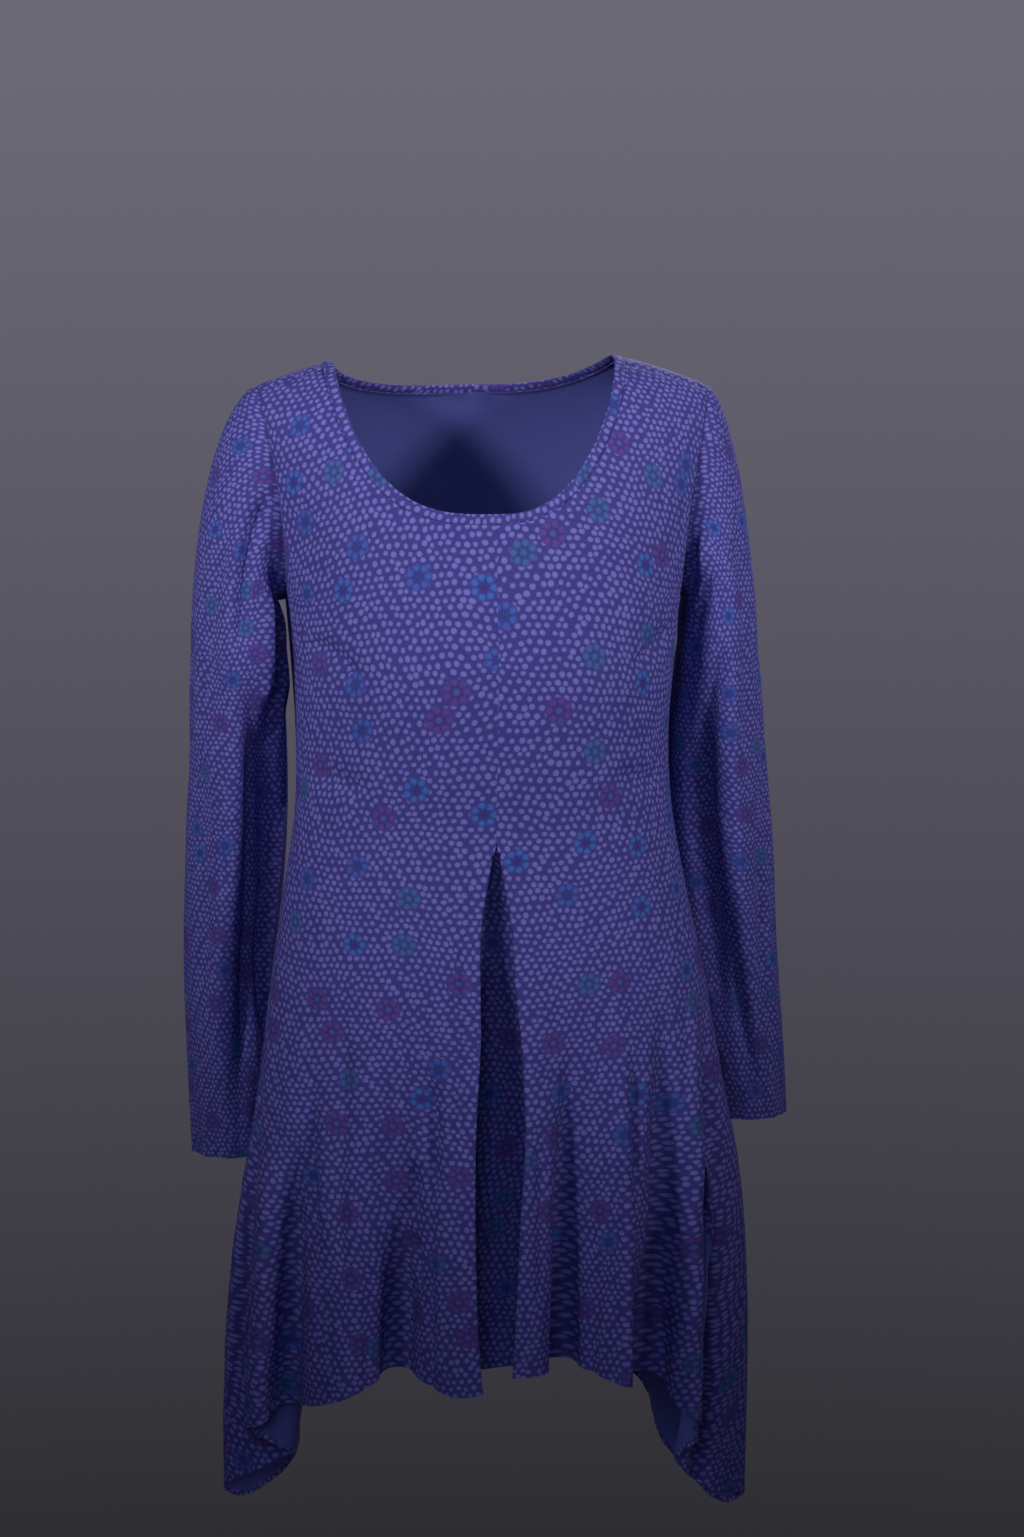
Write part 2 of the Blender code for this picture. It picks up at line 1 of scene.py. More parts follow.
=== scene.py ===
"""The looks of the jersey dress: fine cloth on the form of its solids, its print, folds, seams and stitching.

The form is worked out as the solids' is, from the same sizes, with finer rows and with the soft folds laid on it.
Metres, +Z up. The front faces -Y and the wearer's left is +X. Z is 0 at the neck end of the shoulders.
"""
import math
from collections import namedtuple

import bpy
import numpy as np
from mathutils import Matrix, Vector


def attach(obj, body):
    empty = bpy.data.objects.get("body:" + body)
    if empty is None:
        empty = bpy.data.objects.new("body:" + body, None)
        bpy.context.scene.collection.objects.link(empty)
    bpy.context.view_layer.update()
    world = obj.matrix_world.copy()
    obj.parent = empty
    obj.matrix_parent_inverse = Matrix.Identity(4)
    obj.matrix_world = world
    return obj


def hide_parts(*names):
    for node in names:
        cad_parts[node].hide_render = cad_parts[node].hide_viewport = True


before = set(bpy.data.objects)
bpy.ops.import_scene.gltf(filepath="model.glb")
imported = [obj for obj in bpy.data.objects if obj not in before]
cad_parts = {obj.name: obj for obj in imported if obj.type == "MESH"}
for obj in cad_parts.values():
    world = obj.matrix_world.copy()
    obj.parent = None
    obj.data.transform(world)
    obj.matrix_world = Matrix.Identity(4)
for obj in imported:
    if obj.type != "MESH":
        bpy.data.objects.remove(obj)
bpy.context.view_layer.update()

# ---------------------------------------------------------------- the plain form, as in the solids
LEFT, RIGHT = 1, -1                 # the wearer's sides, which are +X and -X
SIDE_NAME = {LEFT: "left", RIGHT: "right"}

# Driving sizes
BAND_WALL = 0.0024                  # the neckband is folded double
SEAM = 0.0003                       # between pieces
BAND_SEAM = 0.0005                  # between the neckband and the panels, along the scoop's middle
UNDERARM = 0.200                    # every "drop" is a distance below the neck end of the shoulders
CREST_RISE, CREST_BEND = 0.010, 1.05    # the shoulders: drop = bend * x * x - rise
SHOULDER_SEAM = 0.15                # level of the shoulder seam, forward of the crest
NECK_SQUARE = {LEFT: 2.55, RIGHT: 3.1}  # exponents of the scoop
NECK_HALF = {LEFT: 0.106, RIGHT: 0.1225}
NECK_FRONT, NECK_BACK = 0.80, 0.42  # levels of the scoop's lowest points
NECK_REACH = {True: 0.35, False: 0.23}  # metres along the cloth for one level, at the front and at the back
BAND = 0.0075                       # width of the neckband
BAND_CROWD = 1.35                   # above 1 the band's short faces gather at the shoulder
BAND_LAP, BAND_ROUND = 0.0014, 0.6  # how far it lies over the seam, and the power of its section's sine
ARM_SPREAD = 29.0                   # degrees that the armhole is cut in from the side
CUFF = {LEFT: 0.656, RIGHT: 0.677}  # drop of each sleeve's end
CAP_TOP, CAP_END = 0.030, 0.240     # drops of the sleeve's head, and where it has become a plain tube
CAP_REACH = {LEFT: 0.085, RIGHT: 0.120}     # how far the head carries on over the shoulder, then turns down
CAP_REACH_UNDERARM = 0.035
CAP_FALL = 0.40                     # how far it falls for each metre out
CAP_ARRIVE = 0.150                  # and how far above the plain tube it hangs straight
PLEAT_TOP, UNDERLAY_TOP = 0.399, 0.393     # drops where the pleat's opening and its underlay begin
PLEAT_DEPTH = 0.045                 # each side's turn-back behind the front
PLEAT_SPAN = 14.0                   # degrees from the centre within which each of its edges is found
PLEAT_FOLLOW = 0.4                  # share of the underlay's sink that the turned-back edges follow
FOLD = 0.0012                       # radius of the pressed edge
SEAM_TURN, SEAM_LEVEL = 0.06, 0.001     # half a seam, in degrees round the body and in levels

# Rows of the body's grids, from the shoulder to the hem
NECK_ROWS, CHEST_ROWS, WAIST_ROWS, SKIRT_ROWS = 36, 9, 48, 104
CREST_ROWS = 10                     # more rows on the back, which crosses the crest
FRONT_COLUMNS, BACK_COLUMNS = 116, 92
RETURN_COLUMNS, UNDERLAY_COLUMNS = 8, 30
ROLL_COLUMNS = 6                    # round the pleat's pressed edge
BAND_SECTION = 16                   # points round the folded neckband
CAP_ROWS, SLEEVE_ROWS = 26, 96

TURN, RISE = 0.5, 0.004             # small steps in angle and level, between which directions are taken
HALVINGS = 30


class Table:
    """Named columns over a rising first column, read between the rows along a smooth curve."""

    def __init__(self, names, *rows, level_ends=""):
        values = np.array(rows, float)
        self.key = values[:, 0]
        self.columns = dict(zip(names.split()[1:], values[:, 1:].T))
        self.slopes = {name: np.gradient(value, self.key) for name, value in self.columns.items()}
        for name in level_ends.split():
            self.slopes[name][[0, -1]] = 0.0

    def read(self, name, at):
        key, value, slope = self.key, self.columns[name], self.slopes[name]
        at = np.clip(at, key[0], key[-1])
        low = np.clip(np.searchsorted(key, at, side="right") - 1, 0, len(key) - 2)
        step = key[low + 1] - key[low]
        t = (at - key[low]) / step
        ends = value[low] * (1 + 2 * t) * (1 - t) ** 2 + value[low + 1] * t * t * (3 - 2 * t)
        return ends + step * (slope[low] * t * (1 - t) ** 2 - slope[low + 1] * t * t * (1 - t))


# Chest and shoulders by level: 0 is the crest, 1 the underarm. A "round" is the power of the section's sine and
# cosine, on that side of its middle.
CHEST = Table(
    "level half_width front back front_round back_round",
    (0.00, 0.2050, 0.000, 0.000, 0.77, 0.77),
    (0.20, 0.2025, 0.031, 0.033, 0.77, 0.77),
    (0.40, 0.1960, 0.058, 0.062, 0.77, 0.77),
    (0.60, 0.1850, 0.082, 0.083, 0.78, 0.78),
    (0.80, 0.1730, 0.102, 0.094, 0.81, 0.81),
    (1.00, 0.1620, 0.117, 0.098, 0.85, 0.85),
)

# Plain sections below the underarm. "wide" is how far forward of the middle the section is widest.
BODY = Table(
    "drop left right front back wide front_round back_round",
    (0.20, 0.1620, 0.1620, 0.117, 0.098, 0.000, 0.85, 0.85),
    (0.25, 0.1580, 0.1580, 0.121, 0.094, 0.000, 0.86, 0.86),
    (0.32, 0.1545, 0.1545, 0.113, 0.084, 0.000, 0.88, 0.90),
    (0.38, 0.1580, 0.1570, 0.104, 0.080, 0.005, 0.88, 0.96),
    (0.43, 0.1665, 0.1650, 0.104, 0.088, 0.010, 0.88, 1.02),
    (0.52, 0.1845, 0.1790, 0.111, 0.102, 0.020, 0.88, 1.10),
    (0.60, 0.1975, 0.1900, 0.119, 0.110, 0.028, 0.88, 1.15),
    (0.68, 0.2120, 0.2010, 0.126, 0.115, 0.030, 0.88, 1.15),
    (0.80, 0.2255, 0.2120, 0.134, 0.120, 0.022, 0.88, 1.10),
    (1.00, 0.2400, 0.2200, 0.140, 0.124, 0.010, 0.88, 1.00),
)

# The hem's folds: where each ridge and valley lies at the hem, how low the hem is there and where the fold begins.
# The angle runs from 0 at the centre front, past 90 at the side seam, to 180 at the centre back.
HEM = {
    LEFT: Table(
        "angle out back drop start",
        (0.0, 0.000, -0.134, 0.826, 0.42),
        (6.5, 0.030, -0.134, 0.825, 0.42),      # ridge beside the pleat
        (17.0, 0.059, -0.101, 0.827, 0.50),     # valley
        (31.0, 0.103, -0.134, 0.836, 0.50),     # sharp ridge
        (38.0, 0.120, -0.111, 0.840, 0.54),
        (45.0, 0.129, -0.084, 0.846, 0.54),     # valley
        (53.0, 0.156, -0.088, 0.874, 0.54),
        (60.0, 0.184, -0.080, 0.896, 0.50),     # front tail
        (71.0, 0.160, -0.045, 0.935, 0.58),     # valley under the tail
        (82.0, 0.200, -0.024, 0.974, 0.58),
        (90.0, 0.228, 0.000, 0.984, 0.58),
        (101.0, 0.210, 0.025, 1.002, 0.62),     # side point
        (113.0, 0.166, 0.050, 0.958, 0.66),     # valley
        (127.0, 0.152, 0.096, 0.915, 0.60),     # ridge
        (140.0, 0.112, 0.093, 0.890, 0.55),     # valley
        (155.0, 0.074, 0.130, 0.873, 0.50),     # ridge
        (168.0, 0.036, 0.110, 0.865, 0.52),     # valley
        (180.0, 0.000, 0.126, 0.862, 0.50),
        level_ends="back drop start",
    ),
    RIGHT: Table(
        "angle out back drop start",
        (0.0, 0.000, -0.142, 0.832, 0.42),
        (9.0, 0.033, -0.148, 0.836, 0.42),      # ridge beside the pleat
        (26.0, 0.085, -0.102, 0.830, 0.48),     # valley
        (36.0, 0.126, -0.116, 0.845, 0.52),     # soft ridge
        (43.0, 0.147, -0.100, 0.855, 0.56),
        (53.0, 0.170, -0.066, 0.868, 0.60),     # valley
        (60.0, 0.198, -0.071, 0.880, 0.57),
        (65.0, 0.207, -0.059, 0.888, 0.57),     # front tail
        (70.0, 0.190, -0.044, 0.902, 0.58),
        (75.0, 0.171, -0.030, 0.920, 0.60),     # valley under the tail
        (83.0, 0.201, -0.014, 0.943, 0.60),
        (90.0, 0.222, 0.000, 0.958, 0.60),
        (101.0, 0.204, 0.022, 0.977, 0.62),     # side point, turned to the back
        (113.0, 0.164, 0.045, 0.956, 0.66),     # valley
        (127.0, 0.150, 0.094, 0.915, 0.60),     # ridge
        (141.0, 0.112, 0.090, 0.890, 0.55),     # valley
        (156.0, 0.072, 0.128, 0.873, 0.50),     # ridge
        (168.0, 0.036, 0.109, 0.865, 0.52),     # valley
        (180.0, 0.000, 0.126, 0.862, 0.50),
        level_ends="back drop start",
    ),
}

# The inverted pleat: how far each edge stands from the centre, and how far back the underlay sinks.
PLEAT = Table(
    "drop left right sink",
    (0.389, 0.0000, 0.0000, 0.000),
    (0.406, 0.0030, 0.0032, 0.003),
    (0.422, 0.0058, 0.0062, 0.006),
    (0.435, 0.0078, 0.0087, 0.009),
    (0.453, 0.0112, 0.0116, 0.013),
    (0.475, 0.0129, 0.0134, 0.017),
    (0.500, 0.0140, 0.0138, 0.021),
    (0.550, 0.0180, 0.0150, 0.030),
    (0.610, 0.0210, 0.0185, 0.036),
    (0.700, 0.0165, 0.0210, 0.042),
    (0.780, 0.0115, 0.0205, 0.042),
    (0.850, 0.0075, 0.0160, 0.038),
)

# The sleeves as they hang at the sides
SLEEVE = {
    LEFT: Table(
        "drop middle half_width back half_depth",
        (0.24, 0.1980, 0.0320, 0.008, 0.056),
        (0.28, 0.1980, 0.0375, 0.013, 0.054),
        (0.32, 0.1985, 0.0410, 0.018, 0.051),
        (0.40, 0.2055, 0.0450, 0.031, 0.046),
        (0.50, 0.2150, 0.0430, 0.043, 0.042),
        (0.60, 0.2290, 0.0385, 0.053, 0.039),
        (0.66, 0.2350, 0.0365, 0.057, 0.038),
    ),
    RIGHT: Table(
        "drop middle half_width back half_depth",
        (0.24, 0.2040, 0.0360, 0.008, 0.056),
        (0.28, 0.2030, 0.0395, 0.013, 0.054),
        (0.32, 0.2025, 0.0412, 0.018, 0.051),
        (0.38, 0.2038, 0.0428, 0.028, 0.047),
        (0.44, 0.2060, 0.0415, 0.037, 0.044),
        (0.50, 0.2095, 0.0380, 0.044, 0.042),
        (0.60, 0.2120, 0.0345, 0.054, 0.039),
        (0.69, 0.2110, 0.0335, 0.060, 0.037),
    ),
}


def unit(vectors):
    return vectors / np.maximum(np.linalg.norm(vectors, axis=-1, keepdims=True), 1e-12)


def smooth_step(t):
    t = np.clip(t, 0.0, 1.0)
    return t * t * (3 - 2 * t)


def spread(start, end, count):
    """Evenly spaced values after start, up to and with end."""
    return list(np.linspace(start, end, count + 1)[1:])


def section(table, key, half_width, lateral, forward):
    """A plain section: distance out from the middle, and distance back, for a sine and cosine round it."""
    front_side = forward >= 0
    power = np.where(front_side, table.read("front_round", key), table.read("back_round", key))
    wide = table.read("wide", key) if "wide" in table.columns else 0.0
    depth = np.where(front_side, table.read("front", key) - wide, table.read("back", key) + wide)
    out = table.read(half_width, key) * np.sign(lateral) * np.abs(lateral) ** power
    return out, -np.sign(forward) * depth * np.abs(forward) ** power - wide


def chest(side, lateral, forward, level):
    out, back = section(CHEST, level, "half_width", lateral, forward)
    crest = CREST_BEND * out * out - CREST_RISE
    drop = crest + (UNDERARM - crest) * level ** 2
    return np.stack([side * out, back, -drop], axis=-1)


def skirt(side, angle, lateral, forward, level):
    hem = HEM[side]
    signed = (angle + 180) % 360 - 180
    turn = np.abs(signed)
    hem_drop = hem.read("drop", turn)
    drop = UNDERARM + (hem_drop - UNDERARM) * (level - 1)
    out, back = section(BODY, drop, SIDE_NAME[side], lateral, forward)
    start = hem.read("start", turn)
    folded = smooth_step((drop - start) / (hem_drop - start))
    out = out + (np.sign(signed) * hem.read("out", turn) - out) * folded
    back = back + (hem.read("back", turn) - back) * folded
    return np.stack([side * out, back, -drop], axis=-1)


def body(side, angle, level):
    """Where the cloth lies, by angle round the body and by level: 0 the crest, 1 the underarm, 2 the hem."""
    angle, level = np.broadcast_arrays(np.asarray(angle, float), np.asarray(level, float))
    angle = np.where(level < 0, 180 - angle, angle)     # a negative level lies over the crest, on the other face
    level = np.abs(level)
    lateral, forward = np.sin(np.radians(angle)), np.cos(np.radians(angle))
    upper = chest(side, lateral, forward, np.minimum(level, 1.0))
    lower = skirt(side, angle, lateral, forward, np.maximum(level, 1.0))
    return np.where((level <= 1)[..., None], upper, lower)


def body_normal(side, angle, level):
    """The direction that points out of the cloth."""
    across = body(side, angle + TURN, level) - body(side, angle - TURN, level)
    level_down = np.where(np.abs(level) < RISE, level + RISE, level)
    down = body(side, angle, level_down + RISE) - body(side, angle, level_down - RISE)
    return unit(np.cross(across, down)) * -side


def slide(side, angle, level, distance):
    """The angle at a distance round the body from another angle."""
    reach = np.linalg.norm(body(side, angle + TURN, level) - body(side, angle, level), axis=-1)
    return angle + TURN * distance / reach


def angle_of(side_half, level, front):
    """The angle at a distance out from the middle, on the chest or the upper back."""
    power = CHEST.read("front_round", level)
    ratio = np.clip(side_half / CHEST.read("half_width", level), 0, 1) ** (1 / power)
    angle = np.degrees(np.arcsin(ratio))
    return angle if front else 180 - angle


def neck_edge(side, turn, away, front):
    """Angle and level at a distance from the scoop, at a turn from 0 at the shoulder to 90 at the middle."""
    power = 2 / NECK_SQUARE[side]
    out = (NECK_HALF[side] + away) * np.cos(np.radians(turn)) ** power
    scoop = (NECK_FRONT if front else NECK_BACK) + away / NECK_REACH[front]
    level = scoop * np.sin(np.radians(turn)) ** power
    return angle_of(out, level, front), level


def arm_angle(level, front):
    angle = 90 - ARM_SPREAD * np.sqrt(1 - np.minimum(np.abs(level), 1.0) ** 2)
    return angle if front else 180 - angle


def armhole(side):
    """The armhole's seam: its points, and the way from the body to the sleeve."""
    front = spread(SHOULDER_SEAM, 1.0, NECK_ROWS + CHEST_ROWS)
    back = spread(-SHOULDER_SEAM, 0.0, CREST_ROWS) + spread(0.0, 1.0, NECK_ROWS + CHEST_ROWS)
    levels = np.array([SHOULDER_SEAM] + front + back[-2::-1])
    facing = np.array([True] * (1 + len(front)) + [False] * (len(back) - 1))
    angles = np.where(facing, arm_angle(levels, True), arm_angle(levels, False))
    points = body(side, angles, levels)
    out_of_body = body_normal(side, angles, levels)
    along = unit(np.roll(points, -1, axis=0) - np.roll(points, 1, axis=0))
    leave = np.cross(along, cap_start(side, points)) * side
    lean = unit(out_of_body + unit(leave))
    return points, unit(np.cross(lean, along)) * side


def cap_start(side, points):
    """How the sleeve's head leaves the armhole: far over the shoulder, little under the arm."""
    height = np.clip((points[:, 2] + UNDERARM) / (UNDERARM - CAP_TOP), 0, 1)[:, None]
    reach = CAP_REACH_UNDERARM + (CAP_REACH[side] - CAP_REACH_UNDERARM) * height
    return reach * np.array([side * 1.0, 0.0, -CAP_FALL])


def neck_turns(side, front):
    """The turns round the scoop at which the rows of a panel and the ends of the band's faces lie."""
    share = np.linspace(0, 1, NECK_ROWS + 1) ** BAND_CROWD
    if not front:
        return 90 * share[1:]
    start = math.degrees(math.asin((SHOULDER_SEAM / NECK_FRONT) ** (NECK_SQUARE[side] / 2)))
    return start + (90 - start) * share


def shoulder_levels():
    """The rows of the back over the crest, from the shoulder seam."""
    return [-SHOULDER_SEAM] + spread(-SHOULDER_SEAM, 0.0, CREST_ROWS)


def shoulder_angles(side, away):
    return np.array([180 - angle_of(NECK_HALF[side] + away, abs(level), True) for level in shoulder_levels()])


def panel_rows(side, front):
    """Angles and levels of a half panel's rows at its middle edge, and then at the armhole and side seam."""
    away = BAND + BAND_SEAM
    turns = neck_turns(side, front)
    top = [SHOULDER_SEAM] if front else shoulder_levels()
    angles, levels = ([], []) if front else (list(shoulder_angles(side, away)), list(top))
    neck_angles, neck_levels = neck_edge(side, turns, away, front)
    pleat_level = 1 + (PLEAT_TOP - UNDERARM) / (HEM[LEFT].read("drop", 0.0) - UNDERARM)
    below = spread(1.0, pleat_level, WAIST_ROWS) + spread(pleat_level, 2.0, SKIRT_ROWS)
    levels += list(neck_levels) + spread(neck_levels[-1], 1.0, CHEST_ROWS) + below
    angles += list(neck_angles) + [0.0 if front else 180.0] * (CHEST_ROWS + len(below))
    side_levels = np.array(top + spread(top[-1], 1.0, NECK_ROWS + CHEST_ROWS) + below)
    seam = 90 - SEAM_TURN if front else 90 + SEAM_TURN
    side_angles = np.where(side_levels < 1, arm_angle(side_levels, front), seam)
    levels[0] += SEAM_LEVEL
    side_levels[0] += SEAM_LEVEL
    return np.array(angles), np.array(levels), side_angles, side_levels


def panel(side, front, columns):
    """A half panel's points, from its middle edge to the armhole and side seam, and which of its faces there are."""
    angles, levels, side_angles, side_levels = panel_rows(side, front)
    if front:
        first_pleated = NECK_ROWS + CHEST_ROWS + WAIST_ROWS
        seamed, pleated = slice(NECK_ROWS, first_pleated), slice(first_pleated, None)
        angles[seamed] = pleat_edge(side, levels[seamed], SEAM / 2)
        edge_levels = levels[pleated]
        edge_angles = pleat_edge(side, edge_levels, FOLD)
        angles[pleated] = slide(side, edge_angles, edge_levels, FOLD)
    share = np.linspace(0, 1, columns + 1)
    angle = angles[:, None] + (side_angles - angles)[:, None] * share
    level = levels[:, None] + (side_levels - levels)[:, None] * share
    points = body(side, angle, level)
    hole, across = armhole(side)
    along = unit(np.roll(hole, -1, axis=0) - np.roll(hole, 1, axis=0))
    arm_rows = int(np.sum(side_levels < 1)) + 1
    order = np.arange(arm_rows) if front else (len(hole) - np.arange(arm_rows)) % len(hole)
    points[:arm_rows, -1] = hole[order] - across[order] * SEAM / 2
    forward = SEAM / 2 if front else -SEAM / 2
    points[0, -1] += along[order[0]] * forward
    points[arm_rows - 1, -1] -= along[order[-1]] * forward
    faces = np.full((angle.shape[0] - 1, angle.shape[1] - 1), True)
    if not front:
        return points, faces
    turned = turn_back(side, edge_angles, edge_levels)
    missing, extra = len(levels) - len(edge_levels), turned.shape[1]
    points = np.concatenate([np.concatenate([np.zeros((missing, extra, 3)), turned]), points], axis=1)
    there = np.arange(faces.shape[0])[:, None].repeat(extra, axis=1) >= missing
    return points, np.concatenate([there, faces], axis=1)


def turn_back(side, edge_angles, levels):
    """The part of a front half that is folded behind it at the pleat, from its far edge to the fold."""
    edge, out = body(side, edge_angles, levels), body_normal(side, edge_angles, levels)
    to_centre = unit(edge - body(side, edge_angles + TURN, levels))
    middle = body(side, slide(side, edge_angles, levels, FOLD), levels) - out * FOLD
    near = middle - out * FOLD
    far = pleat_seam(side, edge_angles, levels)
    points = [near + (far - near) * share for share in np.linspace(1, 0, RETURN_COLUMNS + 1)]
    for turn in np.radians(np.linspace(180, 0, ROLL_COLUMNS + 1)[1:-1]):
        points.append(middle + (out * math.cos(turn) + to_centre * math.sin(turn)) * FOLD)
    return np.stack(points, axis=1)


def pleat_seam(side, edge_angles, levels):
    """Where the turned-back part ends, behind the front, and the underlay is sewn on."""
    far = slide(side, edge_angles, levels, PLEAT_DEPTH)
    place = body(side, far, levels)
    sink = PLEAT.read("sink", -place[:, 2])
    return place - body_normal(side, far, levels) * (2 * FOLD + PLEAT_FOLLOW * sink)[:, None]


def pleat_edge(side, level, clear):
    """The angle at which a front half ends: just clear of the centre, or at the pleat's opening."""
    low, high = np.zeros_like(level), np.full_like(level, PLEAT_SPAN)
    for _ in range(HALVINGS):
        middle = (low + high) / 2
        point = body(side, middle, level)
        short = side * point[:, 0] < PLEAT.read(SIDE_NAME[side], -point[:, 2]) + clear
        low, high = np.where(short, middle, low), np.where(short, high, middle)
    return high


def underlay():
    """The backing of the pleat, from the wearer's left to the right."""
    pleat_level = 1 + (UNDERLAY_TOP - UNDERARM) / (HEM[LEFT].read("drop", 0.0) - UNDERARM)
    levels = np.array([pleat_level] + spread(pleat_level, 2.0, SKIRT_ROWS))
    edge = {side: pleat_edge(side, levels, FOLD) for side in (LEFT, RIGHT)}
    middle = (body(LEFT, edge[LEFT], levels) + body(RIGHT, edge[RIGHT], levels)) / 2
    middle[:, 1] += 4 * FOLD + PLEAT.read("sink", -middle[:, 2])
    columns = []
    for share in np.linspace(1, -1, UNDERLAY_COLUMNS + 1):
        side = LEFT if share > 0 else RIGHT
        far = pleat_seam(side, edge[side], levels)
        far[:, 1] += 2 * FOLD
        place = middle + (far - middle) * abs(share)
        place[:, 1] = middle[:, 1] + (far - middle)[:, 1] * share ** 2
        columns.append(place)
    return np.stack(columns, axis=1)


def back_panel():
    """Both halves of the back, which share the points of the middle line below the neck."""
    (left, left_faces), (right, right_faces) = [panel(side, False, BACK_COLUMNS) for side in (LEFT, RIGHT)]
    parted = np.full((len(left) - 1, 1), False)
    return np.concatenate([left[:, ::-1], right], axis=1), np.concatenate([left_faces, parted, right_faces], axis=1)


def neckband():
    """The folded band as a ring of sections: points round the neck, by points round the band."""
    around = []
    for turn in np.linspace(0, 2 * math.pi, BAND_SECTION, endpoint=False):
        away = (BAND + BAND_LAP) / 2 * (1 - math.cos(turn))
        rise = BAND_WALL / 2 * math.copysign(abs(math.sin(turn)) ** BAND_ROUND, math.sin(turn))
        quarters = {}
        for side in (LEFT, RIGHT):
            angle, level = neck_edge(side, neck_turns(side, False), away, False)
            angle = np.concatenate([angle[::-1], shoulder_angles(side, away)[:0:-1]])
            level = np.concatenate([level[::-1], np.array(shoulder_levels()[:0:-1])])
            front_angle, front_level = neck_edge(side, neck_turns(side, True), away, True)
            angle = np.concatenate([angle, front_angle])
            level = np.concatenate([level, front_level])
            quarters[side] = body(side, angle, level) + body_normal(side, angle, level) * rise
        around.append(np.concatenate([quarters[LEFT], quarters[RIGHT][-2:0:-1]]))
    return np.stack(around)


def sleeve_ring(side, drop, turn):
    table = SLEEVE[side]
    out = table.read("middle", drop) + table.read("half_width", drop) * np.cos(turn)
    back = table.read("back", drop) - table.read("half_depth", drop) * np.sin(turn)
    return np.stack([side * out, back, -drop + 0.0 * turn], axis=-1)


def sleeve(side):
    """A sleeve from its armhole to the cuff: rings of points, and how far round the arm each column lies."""
    hole, across = armhole(side)
    steps = np.linalg.norm(np.roll(hole, -1, axis=0) - hole, axis=1)
    reach = np.concatenate([[0], np.cumsum(steps)])
    low = NECK_ROWS + CHEST_ROWS
    front, back = reach[:low + 1] / reach[low], (reach[low:-1] - reach[low]) / (reach[-1] - reach[low])
    turn = np.pi * np.concatenate([front, 1 + back[1:]])
    start = hole + across * SEAM / 2
    end = sleeve_ring(side, CAP_END, turn)
    leave = cap_start(side, hole)
    arrive = np.array([0.0, 0.0, -CAP_ARRIVE])
    rings = []
    for t in np.linspace(0, 1, CAP_ROWS + 1):
        ends = start * (1 + 2 * t) * (1 - t) ** 2 + end * t * t * (3 - 2 * t)
        rings.append(ends + leave * t * (1 - t) ** 2 - arrive * t * t * (1 - t))
    rings += [sleeve_ring(side, drop, turn) for drop in spread(CAP_END, CUFF[side], SLEEVE_ROWS)]
    return np.stack(rings), turn


# ---------------------------------------------------------------- relief: soft folds laid on the plain form
MM = 0.001
SLEEVE_DEGREE = math.radians(1) * 0.045     # metres round a sleeve
FOLD_ENDS = 0.30                    # share of a fold's length over which each end fades
UNEVEN_WAVES, RIPPLE_WAVES = 7, 6   # how many waves are added up
UNEVEN_DRAWN = 0.45                 # below 1 the unevenness is drawn out up and down
RIPPLE_LENGTHS = 0.014, 0.034
RIPPLE_LEAN = 0.05                  # how far ripples lean, and how far and how often they wander on the way down
RIPPLE_WANDER, WANDER_TURNS = 0.004, (5, 16)
Fold = namedtuple("Fold", "start top end bottom bow half_width deep")

# Folds by the face of the body: the x and drop where each starts and ends, how far it bows to the wearer's left, its
# half width and how deep it is. A ridge has a depth below 0. All in millimetres.
BODY_FOLDS = {
    "front": (
        (-36, 440, -34, 680, 1, 5, 5),              # beside the pleat
        (-56, 560, -54, 680, 1, 6, 8),
        (-70, 640, -71, 700, 1, 4.5, 8),            # short sharp creases
        (-69, 700, -67, 760, 0, 3.8, 7.5),
        (-76, 660, -94, 1060, 0, 10, 19),           # a valley down to the hem's highest point
        (-118, 500, -132, 840, -3, 12, 5),
        (-146, 560, -150, 740, -2, 5, 6),
        (-160, 600, -176, 980, -2, 8.5, 15),        # the valley inside the tail
        (-184, 600, -198, 960, 0, 5, -5),
        (-190, 530, -216, 920, -1, 6, 11),          # the tail's outer valley
        (-14, 720, -10, 1000, 1, 5, -4),
        (34, 600, 32, 800, 1, 5, 5),
        (59, 540, 53, 1060, 0, 8.5, 19),            # a deep valley to the hem
        (103, 520, 106, 1060, 0, 5, -7),            # the sharp edge beside the tail
        (113, 560, 112, 700, 0, 4.5, 6),
        (140, 520, 138, 1060, -1, 9.5, 20),         # the valley behind it
        (122, 700, 120, 1060, 0, 12, 16),
        (166, 520, 170, 1000, 0, 8, -6),
        (180, 500, 184, 1100, 1, 6.5, 15),          # the tail's outer valley
        (-27, 455, -26, 545, 0, 2.2, -0.6),
        (60, 400, 75, 480, 0, 2.2, -0.6),
        (-150, 225, -105, 262, 4, 7, 6),            # from the underarms
        (150, 215, 108, 250, 4, 7, 5.5),
        (-146, 335, -100, 350, 2, 9, 4),
        (146, 345, 95, 335, 2, 9, 4),
    ),
    "back": (
        (0, 300, 12, 460, 4, 12, 5),
        (-70, 340, -80, 600, -4, 10, 6),
        (82, 360, 90, 620, 4, 10, 6),
        (-35, 560, -40, 1000, 2, 9, 11),
        (28, 580, 30, 820, -2, 7, 8),
        (118, 600, 114, 1050, 2, 10, 13),
        (-120, 600, -113, 1050, -2, 10, 13),
        (70, 620, 72, 840, 1, 6, 6),
        (-145, 220, -90, 280, 5, 9, 6),
        (145, 215, 85, 275, 5, 9, 6),
        (-110, 330, 40, 352, 0, 15, 3.4),
        (-30, 385, 105, 366, 0, 14, 3),
    ),
}

